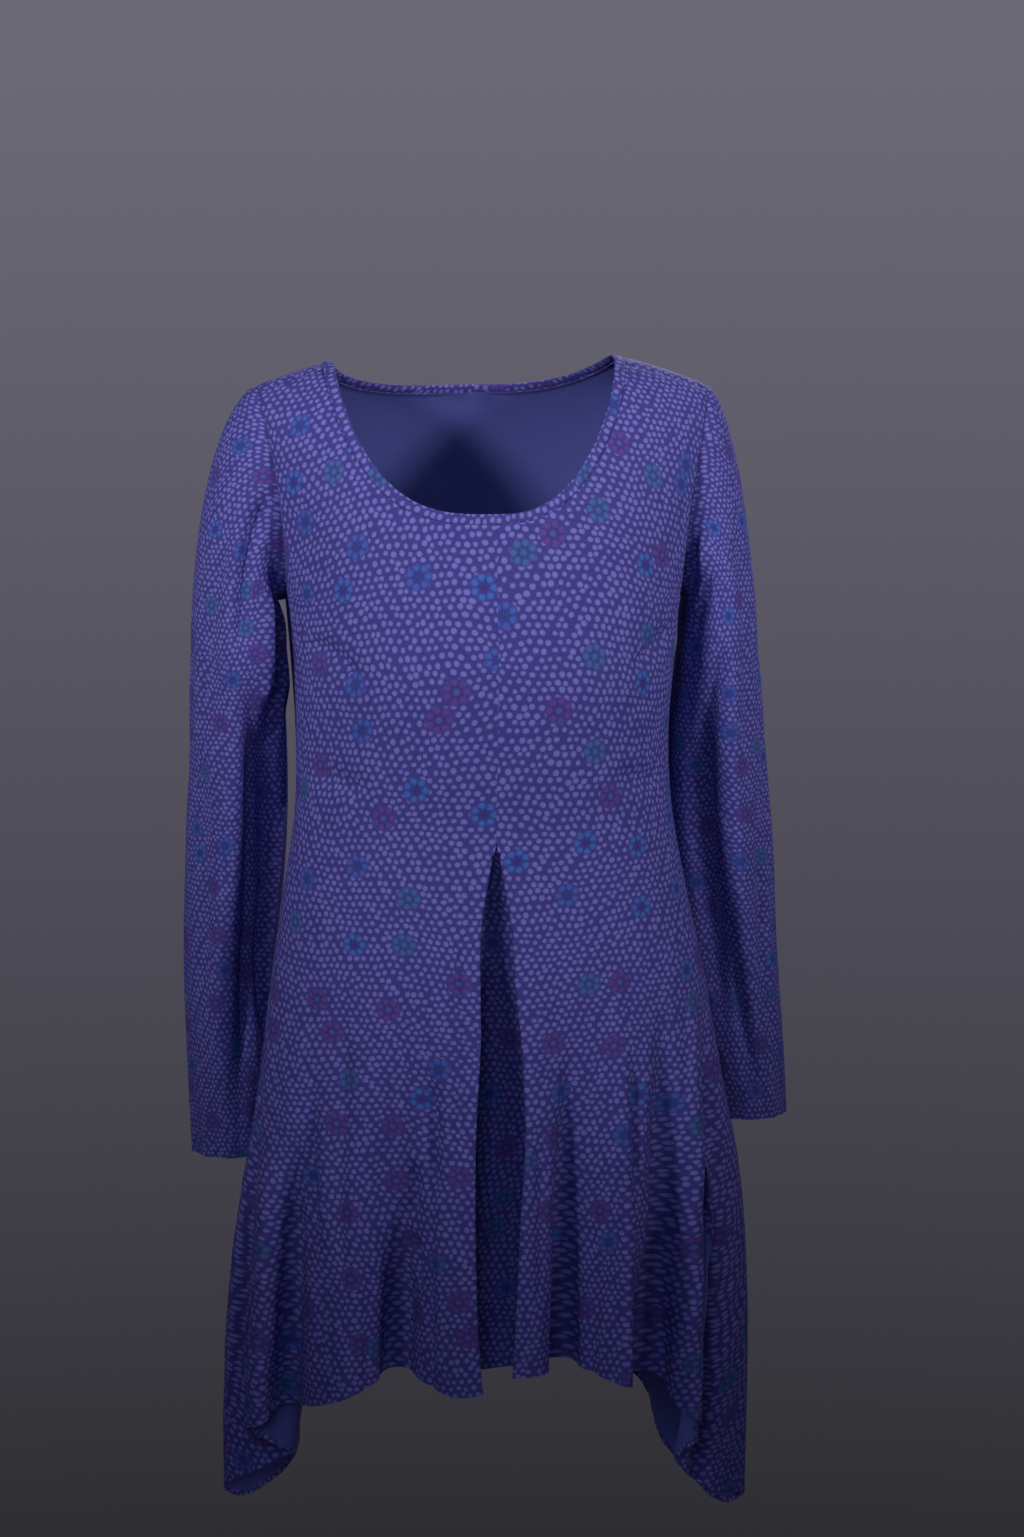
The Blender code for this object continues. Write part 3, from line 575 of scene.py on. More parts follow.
# The same for the sleeves, with degrees for x: round from the outside of the arm, past 90 at the front and 180 at the
# underarm.
SLEEVE_FOLDS = {
    RIGHT: (
        (78, 75, 98, 260, 2, 7.5, 8.8),
        (98, 230, 104, 660, 5, 8.5, 11),
        (118, 240, 124, 600, 4, 19, 15),
        (128, 170, 122, 300, 4, 6, -7.9),
        (146, 170, 138, 330, 5, 6, 10),
        (163, 190, 158, 300, 3, 5.5, -7),
        (140, 300, 150, 620, 6, 11, 10.5),
        (48, 100, 58, 340, 4, 10, 4.2),
        (30, 300, 52, 550, 6, 12, 4.9),
        (74, 420, 70, 660, 3, 9, -3.9),
        (200, 220, 214, 440, 8, 10, 8.8),
        (236, 160, 250, 400, 6, 11, 7),
        (262, 340, 240, 560, -6, 12, 7),
        (290, 200, 305, 480, 6, 11, 4.9),
        (325, 400, 318, 640, -5, 11, 4.5),
        (222, 500, 205, 660, 4, 10, 6.3),
    ),
    LEFT: (
        (104, 130, 168, 262, -8, 6, -9.6),
        (112, 165, 160, 250, -6, 6, 10.5),
        (104, 200, 98, 540, 5, 9.5, 10),
        (116, 260, 110, 620, 4, 19, 15),
        (80, 240, 76, 500, 3, 9, -4.5),
        (88, 500, 84, 640, 3, 7, 5.2),
        (52, 120, 60, 360, 4, 10, 3.9),
        (40, 340, 54, 600, 6, 11, 4.5),
        (202, 240, 216, 460, 8, 10, 8.8),
        (240, 170, 252, 400, 6, 11, 7),
        (258, 360, 238, 570, -6, 12, 7),
        (294, 220, 304, 500, 6, 11, 4.9),
        (328, 380, 320, 620, -5, 11, 4.5),
        (220, 500, 206, 630, 4, 10, 6),
    ),
}


def fold_depths(folds, across, down, unit_across):
    """How deep folds are at each place. The unit is that of the folds' starts, ends and bows, in metres."""
    depth = np.zeros(np.shape(across))
    for fold in map(Fold._make, folds):
        run, reach = (fold.bottom - fold.top) * MM, (fold.end - fold.start) * unit_across
        length = math.hypot(run, reach)
        side_step, fall = across - fold.start * unit_across, down - fold.top * MM
        t = (side_step * reach + fall * run) / length ** 2
        middle = 4 * np.clip(t, 0, 1) * (1 - np.clip(t, 0, 1)) * fold.bow * unit_across
        off = (side_step * run - fall * reach) / length - middle
        fade = smooth_step(np.minimum(t, 1 - t) / FOLD_ENDS)
        depth += fold.deep * MM * fade * np.exp(-(off / (fold.half_width * MM)) ** 2)
    return depth


def body_folds(points, face):
    return fold_depths(BODY_FOLDS[face], points[..., 0], -points[..., 2], MM)


def sleeve_folds(side, points, turn):
    around = np.broadcast_to(np.degrees(turn), points.shape[:-1]) * SLEEVE_DEGREE
    return fold_depths(SLEEVE_FOLDS[side], around, -points[..., 2], SLEEVE_DEGREE)


def hollows(points, scale, height, seed):
    """A slow unevenness of the cloth."""
    chance = np.random.default_rng(seed)
    total = np.zeros(points.shape[:-1])
    for _ in range(UNEVEN_WAVES):
        way = chance.normal(size=3) * np.array([1.0, 1.0, UNEVEN_DRAWN]) / scale
        total += np.sin(points @ way + chance.uniform(0, 2 * math.pi))
    return height * total / math.sqrt(UNEVEN_WAVES)


def ripples(across, points, start, end, height, seed):
    """Fine upright waves that grow down the cloth."""
    chance, drop = np.random.default_rng(seed), -points[..., 2]
    total = np.zeros(across.shape)
    for _ in range(RIPPLE_WAVES):
        wander = RIPPLE_WANDER * np.sin(drop * chance.uniform(*WANDER_TURNS) + chance.uniform(0, 6))
        place = across + wander + chance.normal() * RIPPLE_LEAN * drop
        total += np.sin(2 * math.pi * place / chance.uniform(*RIPPLE_LENGTHS) + chance.uniform(0, 6))
    return height * smooth_step((drop - start) / (end - start)) * total / math.sqrt(RIPPLE_WAVES)


# ---------------------------------------------------------------- cloth
CLOTH = 0.0010                      # drawn thickness of the jersey
HEM_TURN, HEM_EXTRA = 0.018, 0.0008     # width of a turned hem, and how much thicker the cloth is there
HEM_SHOWS = 0.006                   # how much of the turned hem's printed face shows inside
STITCH_ROWS = (0.0110, 0.0155)      # heights of the two stitch rows above an edge
STITCH_DIP, STITCH_SOFT = 0.0005, 0.0011
SEAM_DIP, SEAM_SOFT = 0.0011, 0.0026    # how far cloth rolls in at a seam, and over what width
SEAM_FREE = 0.020                   # folds fade this near a seam
SMOOTH_BELOW = 50.0                 # degrees between faces
SLEEVE_PULLED = 0.87                # the print's stretch on the sleeves,
PULLED, PULLED_DROP, PULLED_WIDE, PULLED_TALL = 0.34, 0.27, 0.17, 0.32  # and over the bust: how much, and where
SHOULDER_PULLED, SHOULDER_DROP = 0.86, 0.11     # and on the shoulders, down to this drop
PULL_STEPS, PULL_REACH = 600, 6.0   # steps in which the stretch is added up, out to so many of its widths
SHOULDER_STEPS, SHOULDER_REACH = 700, (-0.2, 1.2)
NECK_STEPS = 9                      # places along each step of the back neck's edge
FAR = 1.0                           # from a seam that isn't there


def orient(points, faces, wrap, facing, joined=None):
    """The directions out of a grid of cloth that faces this way, and the sign of the grid's own winding."""
    following = np.roll(points, -1, axis=1) if wrap else points[:, 1:]
    here = points if wrap else points[:, :-1]
    normal = np.where(faces[..., None], np.cross(following[1:] - here[:-1], here[1:] - following[:-1]), 0.0)
    total = np.zeros_like(points)
    near = np.arange(normal.shape[1])
    for columns in (near, (near + 1) % points.shape[1]):
        total[:-1, columns] += normal
        total[1:, columns] += normal
    if joined:
        row, column = joined
        total[row:, column:column + 2] = total[row:, column:column + 2].sum(axis=1, keepdims=True)
    sign = 1 if np.sum(total * facing) > 0 else -1
    return unit(total) * sign, sign


def walked(points, axis, backward=False):
    """The distance from a grid's first row (axis 0) or column (1), or from its last."""
    if backward:
        points = np.flip(points, axis)
    steps = np.linalg.norm(np.diff(points, axis=axis), axis=-1)
    total = np.cumsum(np.pad(steps, ((1, 0), (0, 0)) if axis == 0 else ((0, 0), (1, 0))), axis=axis)
    return np.flip(total, axis) if backward else total


def cut_map(points, first):
    """Where each point lies on the flat cloth, in metres: across from the middle, and up from the neck."""
    step, fall = np.diff(points, axis=1), np.diff(points, axis=0)
    across = np.cumsum(np.pad(np.hypot(step[..., 0], step[..., 1]), ((0, 0), (1, 0))), axis=1)
    across = across - across[:, first:first + 1] + np.abs(points[:, first:first + 1, 0])
    down = np.cumsum(np.pad(np.hypot(fall[..., 2], fall[..., 1]), ((1, 0), (0, 0))), axis=0) - points[:1, :, 2]
    down[:, :first] = down[:, first:first + 1]
    return np.stack([across, -down], axis=-1)


def print_map(flat):
    """The print is pulled wide where the front is stretched over the bust, and drawn in on the shoulders."""
    across, down = flat[..., 0], -flat[..., 1] - PULLED_DROP
    steps = np.linspace(0, PULL_REACH, PULL_STEPS)
    shrunk = np.cumsum(1 / (1 + PULLED * (1 - smooth_step(steps)))) * steps[1]
    reach = np.maximum(np.hypot(across / PULLED_WIDE, down / PULLED_TALL), steps[1])
    drawn = np.interp(reach, steps, shrunk) / reach
    across, down = across * drawn, down * drawn + PULLED_DROP
    drops = np.linspace(*SHOULDER_REACH, SHOULDER_STEPS)
    shoulder = SHOULDER_PULLED + (1 - SHOULDER_PULLED) * smooth_step(drops / SHOULDER_DROP)
    drawn = np.interp(down, drops, shoulder)
    down = np.interp(down, drops, np.cumsum(1 / shoulder) * (drops[1] - drops[0]))
    return np.stack([across / drawn, -down], axis=-1)


def near_edge(points, edge):
    """How far each point is from an edge, a grid whose columns are its lines."""
    share = np.linspace(0, 1, NECK_STEPS)[:, None, None, None]
    places = (edge[:-1] + (edge[1:] - edge[:-1]) * share).reshape(-1, 3)
    return np.min(np.linalg.norm(points[..., None, :] - places, axis=-1), axis=-1)


def link_mesh(name, places, quads, corners, slots, materials):
    used, quads = np.unique(quads, return_inverse=True)
    mesh = bpy.data.meshes.new(name)
    mesh.from_pydata(places[used].tolist(), [], quads.reshape(-1, 4).tolist())
    layer = mesh.uv_layers.new(name="print")
    layer.data.foreach_set("uv", corners.reshape(-1).astype(np.float32))
    for material in materials:
        mesh.materials.append(material)
    mesh.polygons.foreach_set("material_index", slots.astype(np.int32))
    mesh.shade_smooth()
    mesh.set_sharp_from_angle(angle=math.radians(SMOOTH_BELOW))
    piece = bpy.data.objects.new(name, mesh)
    bpy.context.scene.collection.objects.link(piece)
    return piece


def shell(name, points, out, sign, faces, flat, hem_at, materials, joined):
    """A thin wall about a grid, printed outside and plain inside, thicker in its turned hem."""
    hem = 1 - smooth_step((hem_at - HEM_TURN) / STITCH_SOFT)
    outer = points + out * CLOTH / 2
    inner = points - out * (CLOTH / 2 + HEM_EXTRA * hem[..., None])
    count = points.shape[0] * points.shape[1]
    index = np.arange(count).reshape(points.shape[:2])
    if joined:
        index[joined[0]:, joined[1] + 1] = index[joined[0]:, joined[1]]
    row, column = np.nonzero(faces)
    beside = (column + 1) % points.shape[1]
    quads = np.stack([index[row, column], index[row, beside], index[row + 1, beside], index[row + 1, column]], 1)
    corners = np.stack([flat[row, column], flat[row, column + 1], flat[row + 1, column + 1], flat[row + 1, column]], 1)
    if sign < 0:
        quads, corners = quads[:, ::-1], corners[:, ::-1]
    starts, ends = quads.reshape(-1), np.roll(quads, -1, axis=1).reshape(-1)
    start_uv, end_uv = corners.reshape(-1, 2), np.roll(corners, -1, axis=1).reshape(-1, 2)
    free = ~np.isin(starts * count + ends, ends * count + starts)
    a, b = starts[free], ends[free]
    rim = np.stack([b, a, a + count, b + count], axis=1)
    rim_corners = np.stack([end_uv[free], start_uv[free], start_uv[free], end_uv[free]], axis=1)
    turned = np.where(hem_at[row, column] < HEM_SHOWS, 0, 1)
    return link_mesh(name, np.concatenate([outer.reshape(-1, 3), inner.reshape(-1, 3)]),
                     np.concatenate([quads, quads[:, ::-1] + count, rim]),
                     np.concatenate([corners, corners[:, ::-1], rim_corners]),
                     np.concatenate([np.zeros(len(quads)), turned, np.zeros(len(rim))]), materials)


def cloth(name, points, faces, facing, depth, seam, flat=None, wrap=False, first=0, joined=None):
    """One piece of the dress, with its folds, its rolled-in seams and its turned hem."""
    hem_at = walked(points, 0, backward=True)
    flat = cut_map(points, first) if flat is None else flat
    out, _ = orient(points, faces, wrap, facing, joined)
    depth = depth * smooth_step(seam / SEAM_FREE) + SEAM_DIP * np.exp(-(seam / SEAM_SOFT) ** 2)
    for row in STITCH_ROWS:
        depth = depth + STITCH_DIP * np.exp(-((hem_at - row) / STITCH_SOFT) ** 2)
    points = points - out * depth[..., None]
    out, sign = orient(points, faces, wrap, facing, joined)
    placed = print_map(flat) if name.startswith("front") else flat / (SLEEVE_PULLED if wrap else 1)
    piece = shell(name + "_cloth", points, out, sign, faces, placed, hem_at, (print_cloth(name), REVERSE), joined)
    dress(piece, name)
    threads = stitches(name, [stitch_line(points, out, hem_at, height, wrap, first) for height in STITCH_ROWS])
    ring = np.concatenate([points, points[:, :1]], axis=1) if wrap else points
    here, there = ring[:-1, :-1], ring[1:, 1:]
    area = np.linalg.norm(np.cross(there - here, ring[1:, :-1] - ring[:-1, 1:]), axis=-1) / 2
    area = float(np.sum(area * faces))
    shown = np.pad(faces, ((0, 1), (0, 1))) if not wrap else np.pad(faces, ((0, 1), (0, 1)), mode="edge")
    width, length = np.ptp(flat[:, first:][shown[:, first:]], axis=0).tolist()
    width += float(np.max(walked(points[-1:], 1)[:, first])) if first else 0.0


def dress(piece, node, shown=True):
    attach(piece, "root")
    if shown:
        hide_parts(node)


# ---------------------------------------------------------------- stitching
THREAD = 0.00022                    # radius
STITCH, STITCH_GAP = 0.0026, 0.0006
THREAD_SIDES, THREAD_RINGS = 6, 3
THREAD_BURIED, THREAD_BOW = 0.6, 1.2    # how deep a stitch's ends lie, and how far it bows out, in its radius
THREAD_END = 0.35                   # share of its radius at its ends


def stitch_line(points, out, hem_at, height, wrap, first):
    """The line on the cloth at one height above its edge."""
    line, ways = [], []
    for column in list(range(first, points.shape[1])) + ([0] if wrap else []):
        order = np.argsort(hem_at[:, column])
        reach = hem_at[order, column]
        line.append([np.interp(height, reach, points[order, column, axis]) for axis in range(3)])
        ways.append([np.interp(height, reach, out[order, column, axis]) for axis in range(3)])
    return np.array(line), unit(np.array(ways))


def stitches(name, lines):
    """Short threads along the lines, as one mesh."""
    turns = np.linspace(0, 2 * math.pi, THREAD_SIDES, endpoint=False)
    places, quads = [], []
    for line, ways in lines:
        along = np.concatenate([[0], np.cumsum(np.linalg.norm(np.diff(line, axis=0), axis=1))])
        for start in np.arange(STITCH_GAP, along[-1] - STITCH, STITCH + STITCH_GAP):
            at = np.linspace(start, start + STITCH, THREAD_RINGS + 2)
            middle = np.stack([np.interp(at, along, line[:, axis]) for axis in range(3)], axis=1)
            way = unit(np.stack([np.interp(at, along, ways[:, axis]) for axis in range(3)], axis=1))
            across = unit(np.cross(way, unit(np.gradient(middle, axis=0))))
            bow = np.sin(np.linspace(0, math.pi, THREAD_RINGS + 2))
            middle = middle + way * (CLOTH / 2 + THREAD * (bow[:, None] * THREAD_BOW - THREAD_BURIED))
            wide = THREAD * (THREAD_END + (1 - THREAD_END) * bow)[:, None]
            rings = [middle + (way * math.sin(t) + across * math.cos(t)) * wide for t in turns]
            base = sum(len(p) for p in places)
            places.append(np.stack(rings, axis=1).reshape(-1, 3))
            index = base + np.arange((THREAD_RINGS + 2) * THREAD_SIDES).reshape(-1, THREAD_SIDES)
            beside = np.roll(index, -1, axis=1)
            quads.append(np.stack([index[:-1], index[1:], beside[1:], beside[:-1]], axis=-1).reshape(-1, 4))
    places, quads = np.concatenate(places), np.concatenate(quads)
    piece = link_mesh("stitches_" + name, places, quads, places[quads][..., :2], np.zeros(len(quads)), (THREAD_DYE,))
    dress(piece, name, shown=False)
    return piece


# ---------------------------------------------------------------- materials
LATTICE = 0.0060                    # between the print's dots
DOT, DOT_SOFT = 0.0020, 0.0006      # radius of a dot and of every other part, and half the width of its soft edge
SCATTER, SIZE_SPREAD = 0.0022, 0.0005   # how far dots stray, and how much smaller some are
BEND, BENDS_PER_METRE = 0.020, 9.0  # how far their rows wander, and the finer jog
JOG, JOGS_PER_METRE = 0.0022, 70.0
FLOWERS_PER_METRE, FLOWER_SCATTER = 21.0, 0.85
PETALS, PETAL, PETAL_RING = 7, 0.0021, 0.0062
PATCH, CLEARING, CENTRE = 0.0082, 0.0090, 0.0020
SCALLOP = 0.0022                    # how much the patch draws in between petals
FLOWER_SOFT = 0.0011
PRINT_SHIFT = 3.1                   # pieces are cut from places up to so many metres apart
HEATHER = 0.18                      # how much the yarn's tone varies
SPECULAR, KNIT_STRENGTH, KNIT_DEPTH = 0.12, 0.35, 0.0004
HALF = (0.5, 0.5, 0.5)

GROUND, DOT_COLOUR = (0.042, 0.036, 0.200, 1), (0.155, 0.142, 0.450, 1)
FLECK = (0.058, 0.052, 0.235, 1)
BLUE, BRIGHT_BLUE = (0.058, 0.115, 0.430), (0.052, 0.145, 0.480)
TEAL, MAROON = (0.058, 0.135, 0.340), (0.115, 0.060, 0.270)
DEEP_MAROON, DEEP_BLUE, DEEP_TEAL = (0.058, 0.026, 0.160), (0.032, 0.044, 0.225), (0.032, 0.052, 0.190)

# The flowers' parts: size, how much each covers, and its colour in each kind of flower, which begins at this chance
KINDS = (0.0, 0.40, 0.62, 0.80)
FLOWER_PARTS = {
    "patch": (PATCH, 0.60, (DEEP_MAROON, DEEP_BLUE, DEEP_BLUE, DEEP_TEAL)),
    "petal": (PETAL, 0.75, (MAROON, BLUE, BRIGHT_BLUE, TEAL)),
    "centre": (CENTRE, 0.70, (BLUE, DEEP_TEAL, DEEP_MAROON, TEAL)),
}


class Web:
    """Nodes of a material or of the world, made and joined in one call each."""

    def __init__(self, owner):
        owner.use_nodes = True
        self.owner, self.nodes, self.links = owner, owner.node_tree.nodes, owner.node_tree.links
        self.nodes.clear()

    def add(self, kind, inputs=(), **settings):
        node = self.nodes.new(kind)
        for key, value in settings.items():
            setattr(node, key, value)
        for key, value in dict(inputs).items():
            if isinstance(value, bpy.types.NodeSocket):
                self.links.new(value, node.inputs[key])
            else:
                node.inputs[key].default_value = value
        return node

    def maths(self, operation, *values):
        return self.add("ShaderNodeMath", enumerate(values), operation=operation).outputs[0]

    def vector(self, operation, *values):
        return self.add("ShaderNodeVectorMath", enumerate(values), operation=operation).outputs[0]

    def length(self, value):
        """The length of a vector on the plane of the print."""
        level = self.vector("MULTIPLY", value, (1.0, 1.0, 0.0))
        return self.add("ShaderNodeVectorMath", {0: level}, operation="LENGTH").outputs["Value"]

    def noise(self, place, scale, detail=2.0):
        return self.add("ShaderNodeTexNoise", {"Vector": place, "Scale": scale, "Detail": detail}).outputs

    def stretch(self, value, from_ends, to_ends, smooth=False):
        """A value moved from one range to another."""
        inputs = zip(("From Min", "From Max", "To Min", "To Max"), (*from_ends, *to_ends))
        return self.add("ShaderNodeMapRange", {"Value": value, **dict(inputs)},
                        interpolation_type="SMOOTHSTEP" if smooth else "LINEAR").outputs["Result"]

    def inside(self, distance, radius, soft):
        """1 within the radius, 0 outside it."""
        return self.stretch(distance, (radius + soft, radius - soft), (0.0, 1.0), smooth=True)

    def mix(self, factor, first, second):
        return self.add("ShaderNodeMix", {0: factor, 6: first, 7: second}, data_type="RGBA").outputs[2]

    def ramp(self, factor, stops, interpolation="CONSTANT"):
        node, stops = self.add("ShaderNodeValToRGB", {"Fac": factor}), list(stops)
        node.color_ramp.interpolation = interpolation
        while len(node.color_ramp.elements) < len(stops):
            node.color_ramp.elements.new(0.5)
        for element, (position, colour) in zip(node.color_ramp.elements, stops):
            element.position, element.color = position, (*colour, 1)
        return node.outputs["Color"]

    def finish(self, colour, roughness, relief=None):
        """The material, with its surface made of these."""
        inputs = {"Base Color": colour, "Roughness": roughness, "Specular IOR Level": SPECULAR}
        if relief is not None:
            inputs["Normal"] = self.add("ShaderNodeBump", {
                "Height": relief, "Strength": KNIT_STRENGTH, "Distance": KNIT_DEPTH}).outputs[0]
        shader = self.add("ShaderNodeBsdfPrincipled", inputs)
        self.add("ShaderNodeOutputMaterial", {"Surface": shader.outputs[0]})
        return self.owner


def knit(web, place):
    """The wales of a fine jersey: height, and how heathered its yarn is."""
    wale = web.add("ShaderNodeTexWave", {"Vector": place, "Scale": 190.0, "Distortion": 1.2, "Detail": 1.0,
                                         "Detail Scale": 400.0}, bands_direction="X")
    heather = web.noise(web.vector("MULTIPLY", place, (1.0, 0.3, 1.0)), 1500.0, 3.0)[0]
    return web.maths("ADD", web.maths("MULTIPLY", wale.outputs["Fac"], 0.5), heather), heather


def near_dot(web, place, shift):
    """The distance from one of the two grids whose cells hold a dot each, with its place and size by chance."""
    half = (LATTICE / 2, LATTICE * math.sqrt(3) / 2, 1.0)
    shifted = web.vector("ADD", place, (half[0] * shift, half[1] * shift, 0.0))
    cell = web.vector("WRAP", shifted, half, tuple(-h for h in half))
    number = web.vector("MULTIPLY_ADD", web.vector("SUBTRACT", shifted, cell), (1 / LATTICE, 1 / LATTICE, 0.0),
                        (0.25, 0.25, 0.0))
    number = web.vector("SNAP", number, (0.5, 0.5, 1.0))
    chance = web.add("ShaderNodeTexWhiteNoise", {0: number}).outputs["Color"]
    astray = web.vector("MULTIPLY", web.vector("SUBTRACT", chance, HALF), (SCATTER, SCATTER, 0.0))
    size = web.maths("MULTIPLY", web.add("ShaderNodeSeparateColor", {0: chance}).outputs[2], SIZE_SPREAD)
    return web.maths("ADD", web.length(web.vector("SUBTRACT", cell, astray)), size)


def near_flower(web, place):
    """The distances from each part of the nearest flower, and the chance that gives its kind."""
    flower = web.add("ShaderNodeTexVoronoi", {"Vector": place, "Scale": FLOWERS_PER_METRE,
                                              "Randomness": FLOWER_SCATTER}, voronoi_dimensions="2D").outputs
    local = web.vector("SUBTRACT", place, flower["Position"])
    axes = web.add("ShaderNodeSeparateXYZ", {0: local}).outputs
    radius = web.length(local)
    turn = web.maths("MULTIPLY", web.maths("ARCTAN2", axes[1], axes[0]), PETALS / (2 * math.pi))
    turn = web.maths("SUBTRACT", web.maths("FRACT", web.maths("ADD", turn, 9.0)), 0.5)
    aside = web.maths("MULTIPLY", turn, 2 * math.pi / PETALS * PETAL_RING)
    beyond = web.maths("SUBTRACT", radius, PETAL_RING)
    petal = web.maths("ADD", web.maths("POWER", aside, 2.0), web.maths("POWER", beyond, 2.0))
    patch = web.maths("ADD", radius, web.maths("MULTIPLY", web.maths("ABSOLUTE", turn), SCALLOP))
    kind = web.add("ShaderNodeSeparateColor", {0: flower["Color"]}).outputs[0]
    return {"patch": patch, "petal": web.maths("POWER", petal, 0.5), "centre": radius}, kind


def print_cloth(name):
    """Dots in gently wandering rows, with small flowers of dots among them, and a knit's fine relief."""
    web = Web(bpy.data.materials.new("print_" + name))
    offset = float(sum(map(ord, name)) % 97) / 97 * PRINT_SHIFT
    uv = web.add("ShaderNodeUVMap", uv_map="print").outputs[0]
    place = bent = web.vector("ADD", uv, (offset, offset * 0.7, 0.0))
    for far, often in ((BEND, BENDS_PER_METRE), (JOG, JOGS_PER_METRE)):
        wander = web.vector("SUBTRACT", web.noise(place, often)["Color"], HALF)
        bent = web.vector("MULTIPLY_ADD", wander, (far, far, 0.0), bent)
    dots = web.inside(web.maths("MINIMUM", near_dot(web, bent, 0), near_dot(web, bent, 1)), DOT, DOT_SOFT)
    distances, kind = near_flower(web, place)
    height, heather = knit(web, place)
    clear = web.inside(distances["centre"], CLEARING, FLOWER_SOFT)
    dotted = web.maths("MULTIPLY", dots, web.maths("SUBTRACT", 1.0, clear))
    colour = web.mix(dotted, web.mix(heather, GROUND, FLECK), DOT_COLOUR)
    for part, (size, share, tones) in FLOWER_PARTS.items():
        covered = web.maths("MULTIPLY", web.inside(distances[part], size, FLOWER_SOFT), share)
        colour = web.mix(covered, colour, web.ramp(kind, zip(KINDS, tones)))
    shade = web.stretch(heather, (0.0, 1.0), (1 - HEATHER, 1 + HEATHER))
    colour = web.add("ShaderNodeVectorMath", {0: colour, "Scale": shade}, operation="SCALE").outputs[0]
    return web.finish(colour, 0.8, height)


def plain_cloth(name, colour):
    web = Web(bpy.data.materials.new(name))
    height, heather = knit(web, web.add("ShaderNodeUVMap", uv_map="print").outputs[0])
    tone = web.mix(heather, (*[c * 0.75 for c in colour], 1), (*[c * 1.25 for c in colour], 1))
    return web.finish(tone, 0.85, height)


def grainy(name, scale, dark, pale, roughness, raised=False):
    """A plain material, a little uneven in tone."""
    web = Web(bpy.data.materials.new(name))
    grain = web.noise(web.add("ShaderNodeTexCoord").outputs["Object"], scale)[0]
    return web.finish(web.mix(grain, (*dark, 1), (*pale, 1)), roughness, grain if raised else None)


REVERSE = plain_cloth("reverse", (0.075, 0.085, 0.300))
THREAD_DYE = grainy("thread", 4000.0, (0.040, 0.034, 0.170), (0.085, 0.075, 0.30), 0.6, raised=True)

# ---------------------------------------------------------------- the dress
FORWARD = np.array([0.0, -1.0, 0.0])
UNEVEN = (0.055, 0.0009)            # size and height of the cloth's slow unevenness
UNDERLAY_UNEVEN = (0.050, 0.0006)
SKIRT_RIPPLES = (0.40, 0.72, 0.0009)    # the drops between which they grow to their height
SLEEVE_RIPPLES = (0.06, 0.30, 0.0008)


def front_cloth(side):
    points, faces = panel(side, True, FRONT_COLUMNS)
    first = points.shape[1] - FRONT_COLUMNS - 1     # the columns before it are turned back at the pleat
    from_middle = walked(points, 1)
    from_middle = np.abs(from_middle - from_middle[:, first:first + 1])
    from_middle[int(np.sum(~faces[:, 0])):] = FAR
    seam = np.minimum(np.minimum(walked(points, 1, backward=True), walked(points, 0)), from_middle)
    seam[:, :first] = FAR
    depth = hollows(points, *UNEVEN, 11) + body_folds(points, "front")
    depth += ripples(cut_map(points, first)[..., 0], points, *SKIRT_RIPPLES, 21 + side)
    depth[:, :first] = depth[:, first:first + 1]
    cloth("front_" + SIDE_NAME[side], points, faces, FORWARD, depth, seam, first=first)


def back_cloth():
    points, faces = back_panel()
    middle = points[:, BACK_COLUMNS:BACK_COLUMNS + 2]   # two columns, apart at the neck and one below it
    neck_end = int(np.argmax(np.linalg.norm(middle[:, 0] - middle[:, 1], axis=-1) < SEAM))
    seam = np.minimum(walked(points, 1), walked(points, 1, backward=True))
    seam = np.minimum(np.minimum(seam, walked(points, 0)), near_edge(points, middle[:neck_end + 1]))
    depth = hollows(points, *UNEVEN, 12) + body_folds(points, "back")
    depth += ripples(cut_map(points, 0)[..., 0], points, *SKIRT_RIPPLES, 24)
    cloth("back", points, faces, -FORWARD, depth, seam, joined=(neck_end, BACK_COLUMNS))


def underlay_cloth():
    points = underlay()
    faces = np.full((points.shape[0] - 1, points.shape[1] - 1), True)
    cloth("pleat_underlay", points, faces, FORWARD, hollows(points, *UNDERLAY_UNEVEN, 13),
          np.full(points.shape[:2], FAR))


def sleeve_cloth(side):
    points, turn = sleeve(side)
    roll = -int(np.argmin(np.abs(turn - math.pi)))      # the print parts at the underarm
    points, turn = np.roll(points, roll, 1), np.roll(turn, roll)
    faces = np.full((points.shape[0] - 1, points.shape[1]), True)
    around = walked(np.concatenate([points, points[:, :1]], axis=1), 1)
    seam = np.minimum(np.minimum(around, around[:, -1:] - around)[:, :-1], walked(points, 0))
    hem_at = walked(points, 0, backward=True)
    flat = np.stack([np.broadcast_to(around[CAP_ROWS + SLEEVE_ROWS // 4], around.shape),
                     np.concatenate([hem_at, hem_at[:, :1]], axis=1)], axis=-1)
    depth = hollows(points, *UNEVEN, 14 + side) + sleeve_folds(side, points, turn)
    depth += ripples(flat[:, :-1, 0], points, *SLEEVE_RIPPLES, 27 + side)
    outward = points - points.mean(axis=1, keepdims=True)
    cloth("sleeve_" + SIDE_NAME[side], points, faces, outward, depth, seam, flat, wrap=True)


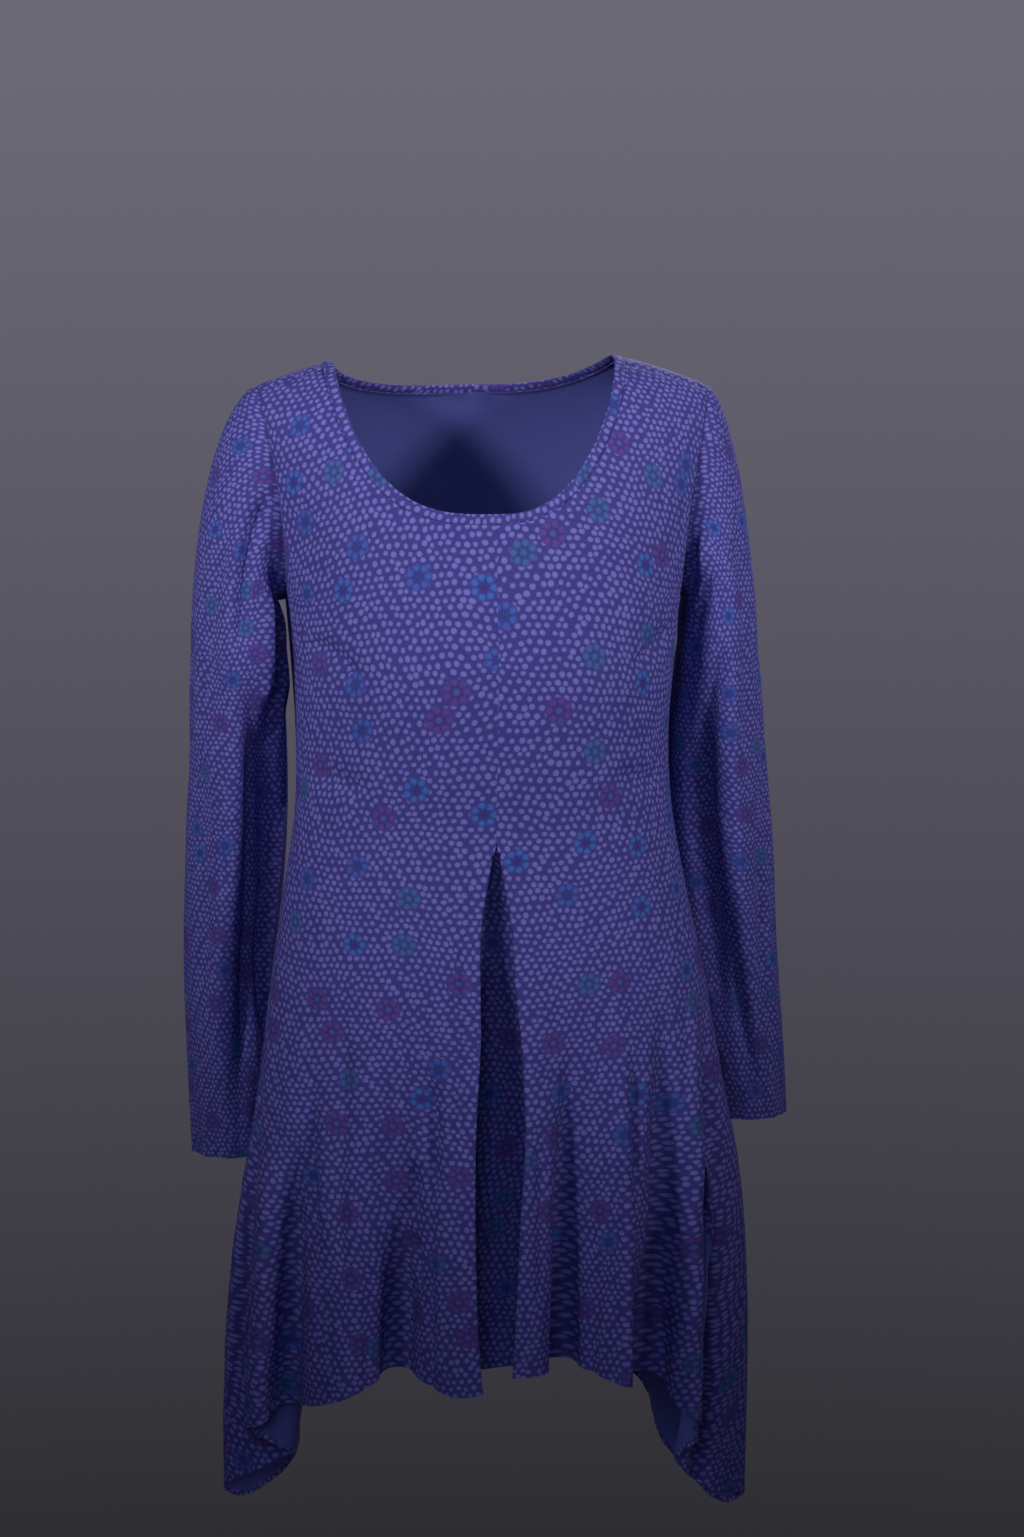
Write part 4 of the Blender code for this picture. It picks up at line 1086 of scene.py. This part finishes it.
def band_cloth():
    points = neckband()
    index = np.arange(points.shape[0] * points.shape[1]).reshape(points.shape[:2])
    beside, after = np.roll(index, -1, axis=1), np.roll(index, -1, axis=0)
    quads = np.stack([index, beside, np.roll(beside, -1, axis=0), after], axis=-1).reshape(-1, 4)
    along = walked(np.concatenate([points[:1], points[:1, :1]], axis=1), 1)[0]
    across = np.linspace(0, 2 * BAND + 2 * BAND_WALL, points.shape[0] + 1)
    flat = np.stack(np.meshgrid(along, across), axis=-1)
    corners = np.stack([flat[:-1, :-1], flat[:-1, 1:], flat[1:, 1:], flat[1:, :-1]], axis=2).reshape(-1, 4, 2)
    band = link_mesh("neckband_cloth", points.reshape(-1, 3), quads[:, ::-1], corners[:, ::-1],
                     np.zeros(len(quads)), (print_cloth("neckband"),))
    dress(band, "neckband")


front_cloth(LEFT)
front_cloth(RIGHT)
back_cloth()
underlay_cloth()
sleeve_cloth(LEFT)
sleeve_cloth(RIGHT)
band_cloth()

# ---------------------------------------------------------------- floor, light and camera
FLOOR_PLACE, FLOOR_SIZE = (0.0, -1.10, -1.40), (6.0, 3.8, 1.0)
KEY_AIM, KEY_CONE, KEY_SOFT = (0, 0, 0.07), math.radians(35), 0.28
CAMERA_PLACE = (-0.2718, -2.5858, 0.05)
CAMERA_AHEAD = np.array([0.1045, 0.9945])   # on the ground, before it turns
TURN_RIGHT, PITCH_DOWN = math.radians(0.536), math.radians(8.6)
LENS, SENSOR = 73.9, 36.0

# The background's tones from below to above, by half the height of the way that is looked plus a half
SKY = ((0.12, (0.027, 0.026, 0.030)), (0.36, (0.088, 0.083, 0.110)), (0.58, (0.150, 0.145, 0.185)),
       (0.85, (0.045, 0.044, 0.055)))

bpy.ops.mesh.primitive_plane_add(size=1, location=FLOOR_PLACE)
floor = bpy.context.object
floor.name, floor.scale = "floor", FLOOR_SIZE
floor.data.materials.append(grainy("floor_grey", 3.0, (0.30, 0.29, 0.32), (0.33, 0.32, 0.35), 0.95))

world = bpy.data.worlds.new("studio")
bpy.context.scene.world = world
sky = Web(world)
way = sky.add("ShaderNodeSeparateXYZ", {0: sky.add("ShaderNodeTexCoord").outputs["Generated"]}).outputs
background = sky.add("ShaderNodeBackground", {
    "Color": sky.ramp(sky.maths("ADD", way["Z"], 0.5), SKY, "LINEAR"),
    "Strength": sky.stretch(way["Y"], (-0.4, 0.5), (0.4, 1.0))})
sky.add("ShaderNodeOutputWorld", {"Surface": background.outputs[0]})


def stand(name, data, place, way):
    """A light or the camera, in its place and facing its way."""
    thing = bpy.data.objects.new(name, data)
    thing.location, thing.rotation_euler = place, way.to_track_quat("-Z", "Y").to_euler()
    bpy.context.scene.collection.objects.link(thing)
    return thing


def light(kind, name, place, aim, power, **settings):
    lamp = bpy.data.lights.new(name, kind)
    for key, value in {"energy": power, **settings}.items():
        setattr(lamp, key, value)
    stand(name, lamp, place, Vector(aim) - Vector(place))


for name, place, power in (("key_left", (-2.1, -1.85, 0.86), 250), ("key_right", (2.1, -1.85, 0.86), 228)):
    light("SPOT", name, place, KEY_AIM, power, spot_size=KEY_CONE, spot_blend=1.0, shadow_soft_size=KEY_SOFT)
light("AREA", "fill", (-0.6, -2.8, 0.7), (0, 0, -0.5), 10, size=1.0, color=(0.72, 0.88, 1.25))
light("AREA", "back", (0.9, 2.4, 1.2), (0, 0, -0.4), 50, size=1.2)

lens = bpy.data.cameras.new("camera")
lens.lens, lens.sensor_width = LENS, SENSOR
aim = CAMERA_AHEAD + math.tan(TURN_RIGHT) * CAMERA_AHEAD[::-1] * [1, -1]
aim = Vector((*aim / np.linalg.norm(aim) * math.cos(PITCH_DOWN), -math.sin(PITCH_DOWN)))
bpy.context.scene.camera = stand("camera", lens, CAMERA_PLACE, aim)
bpy.context.scene.view_settings.view_transform = "Standard"
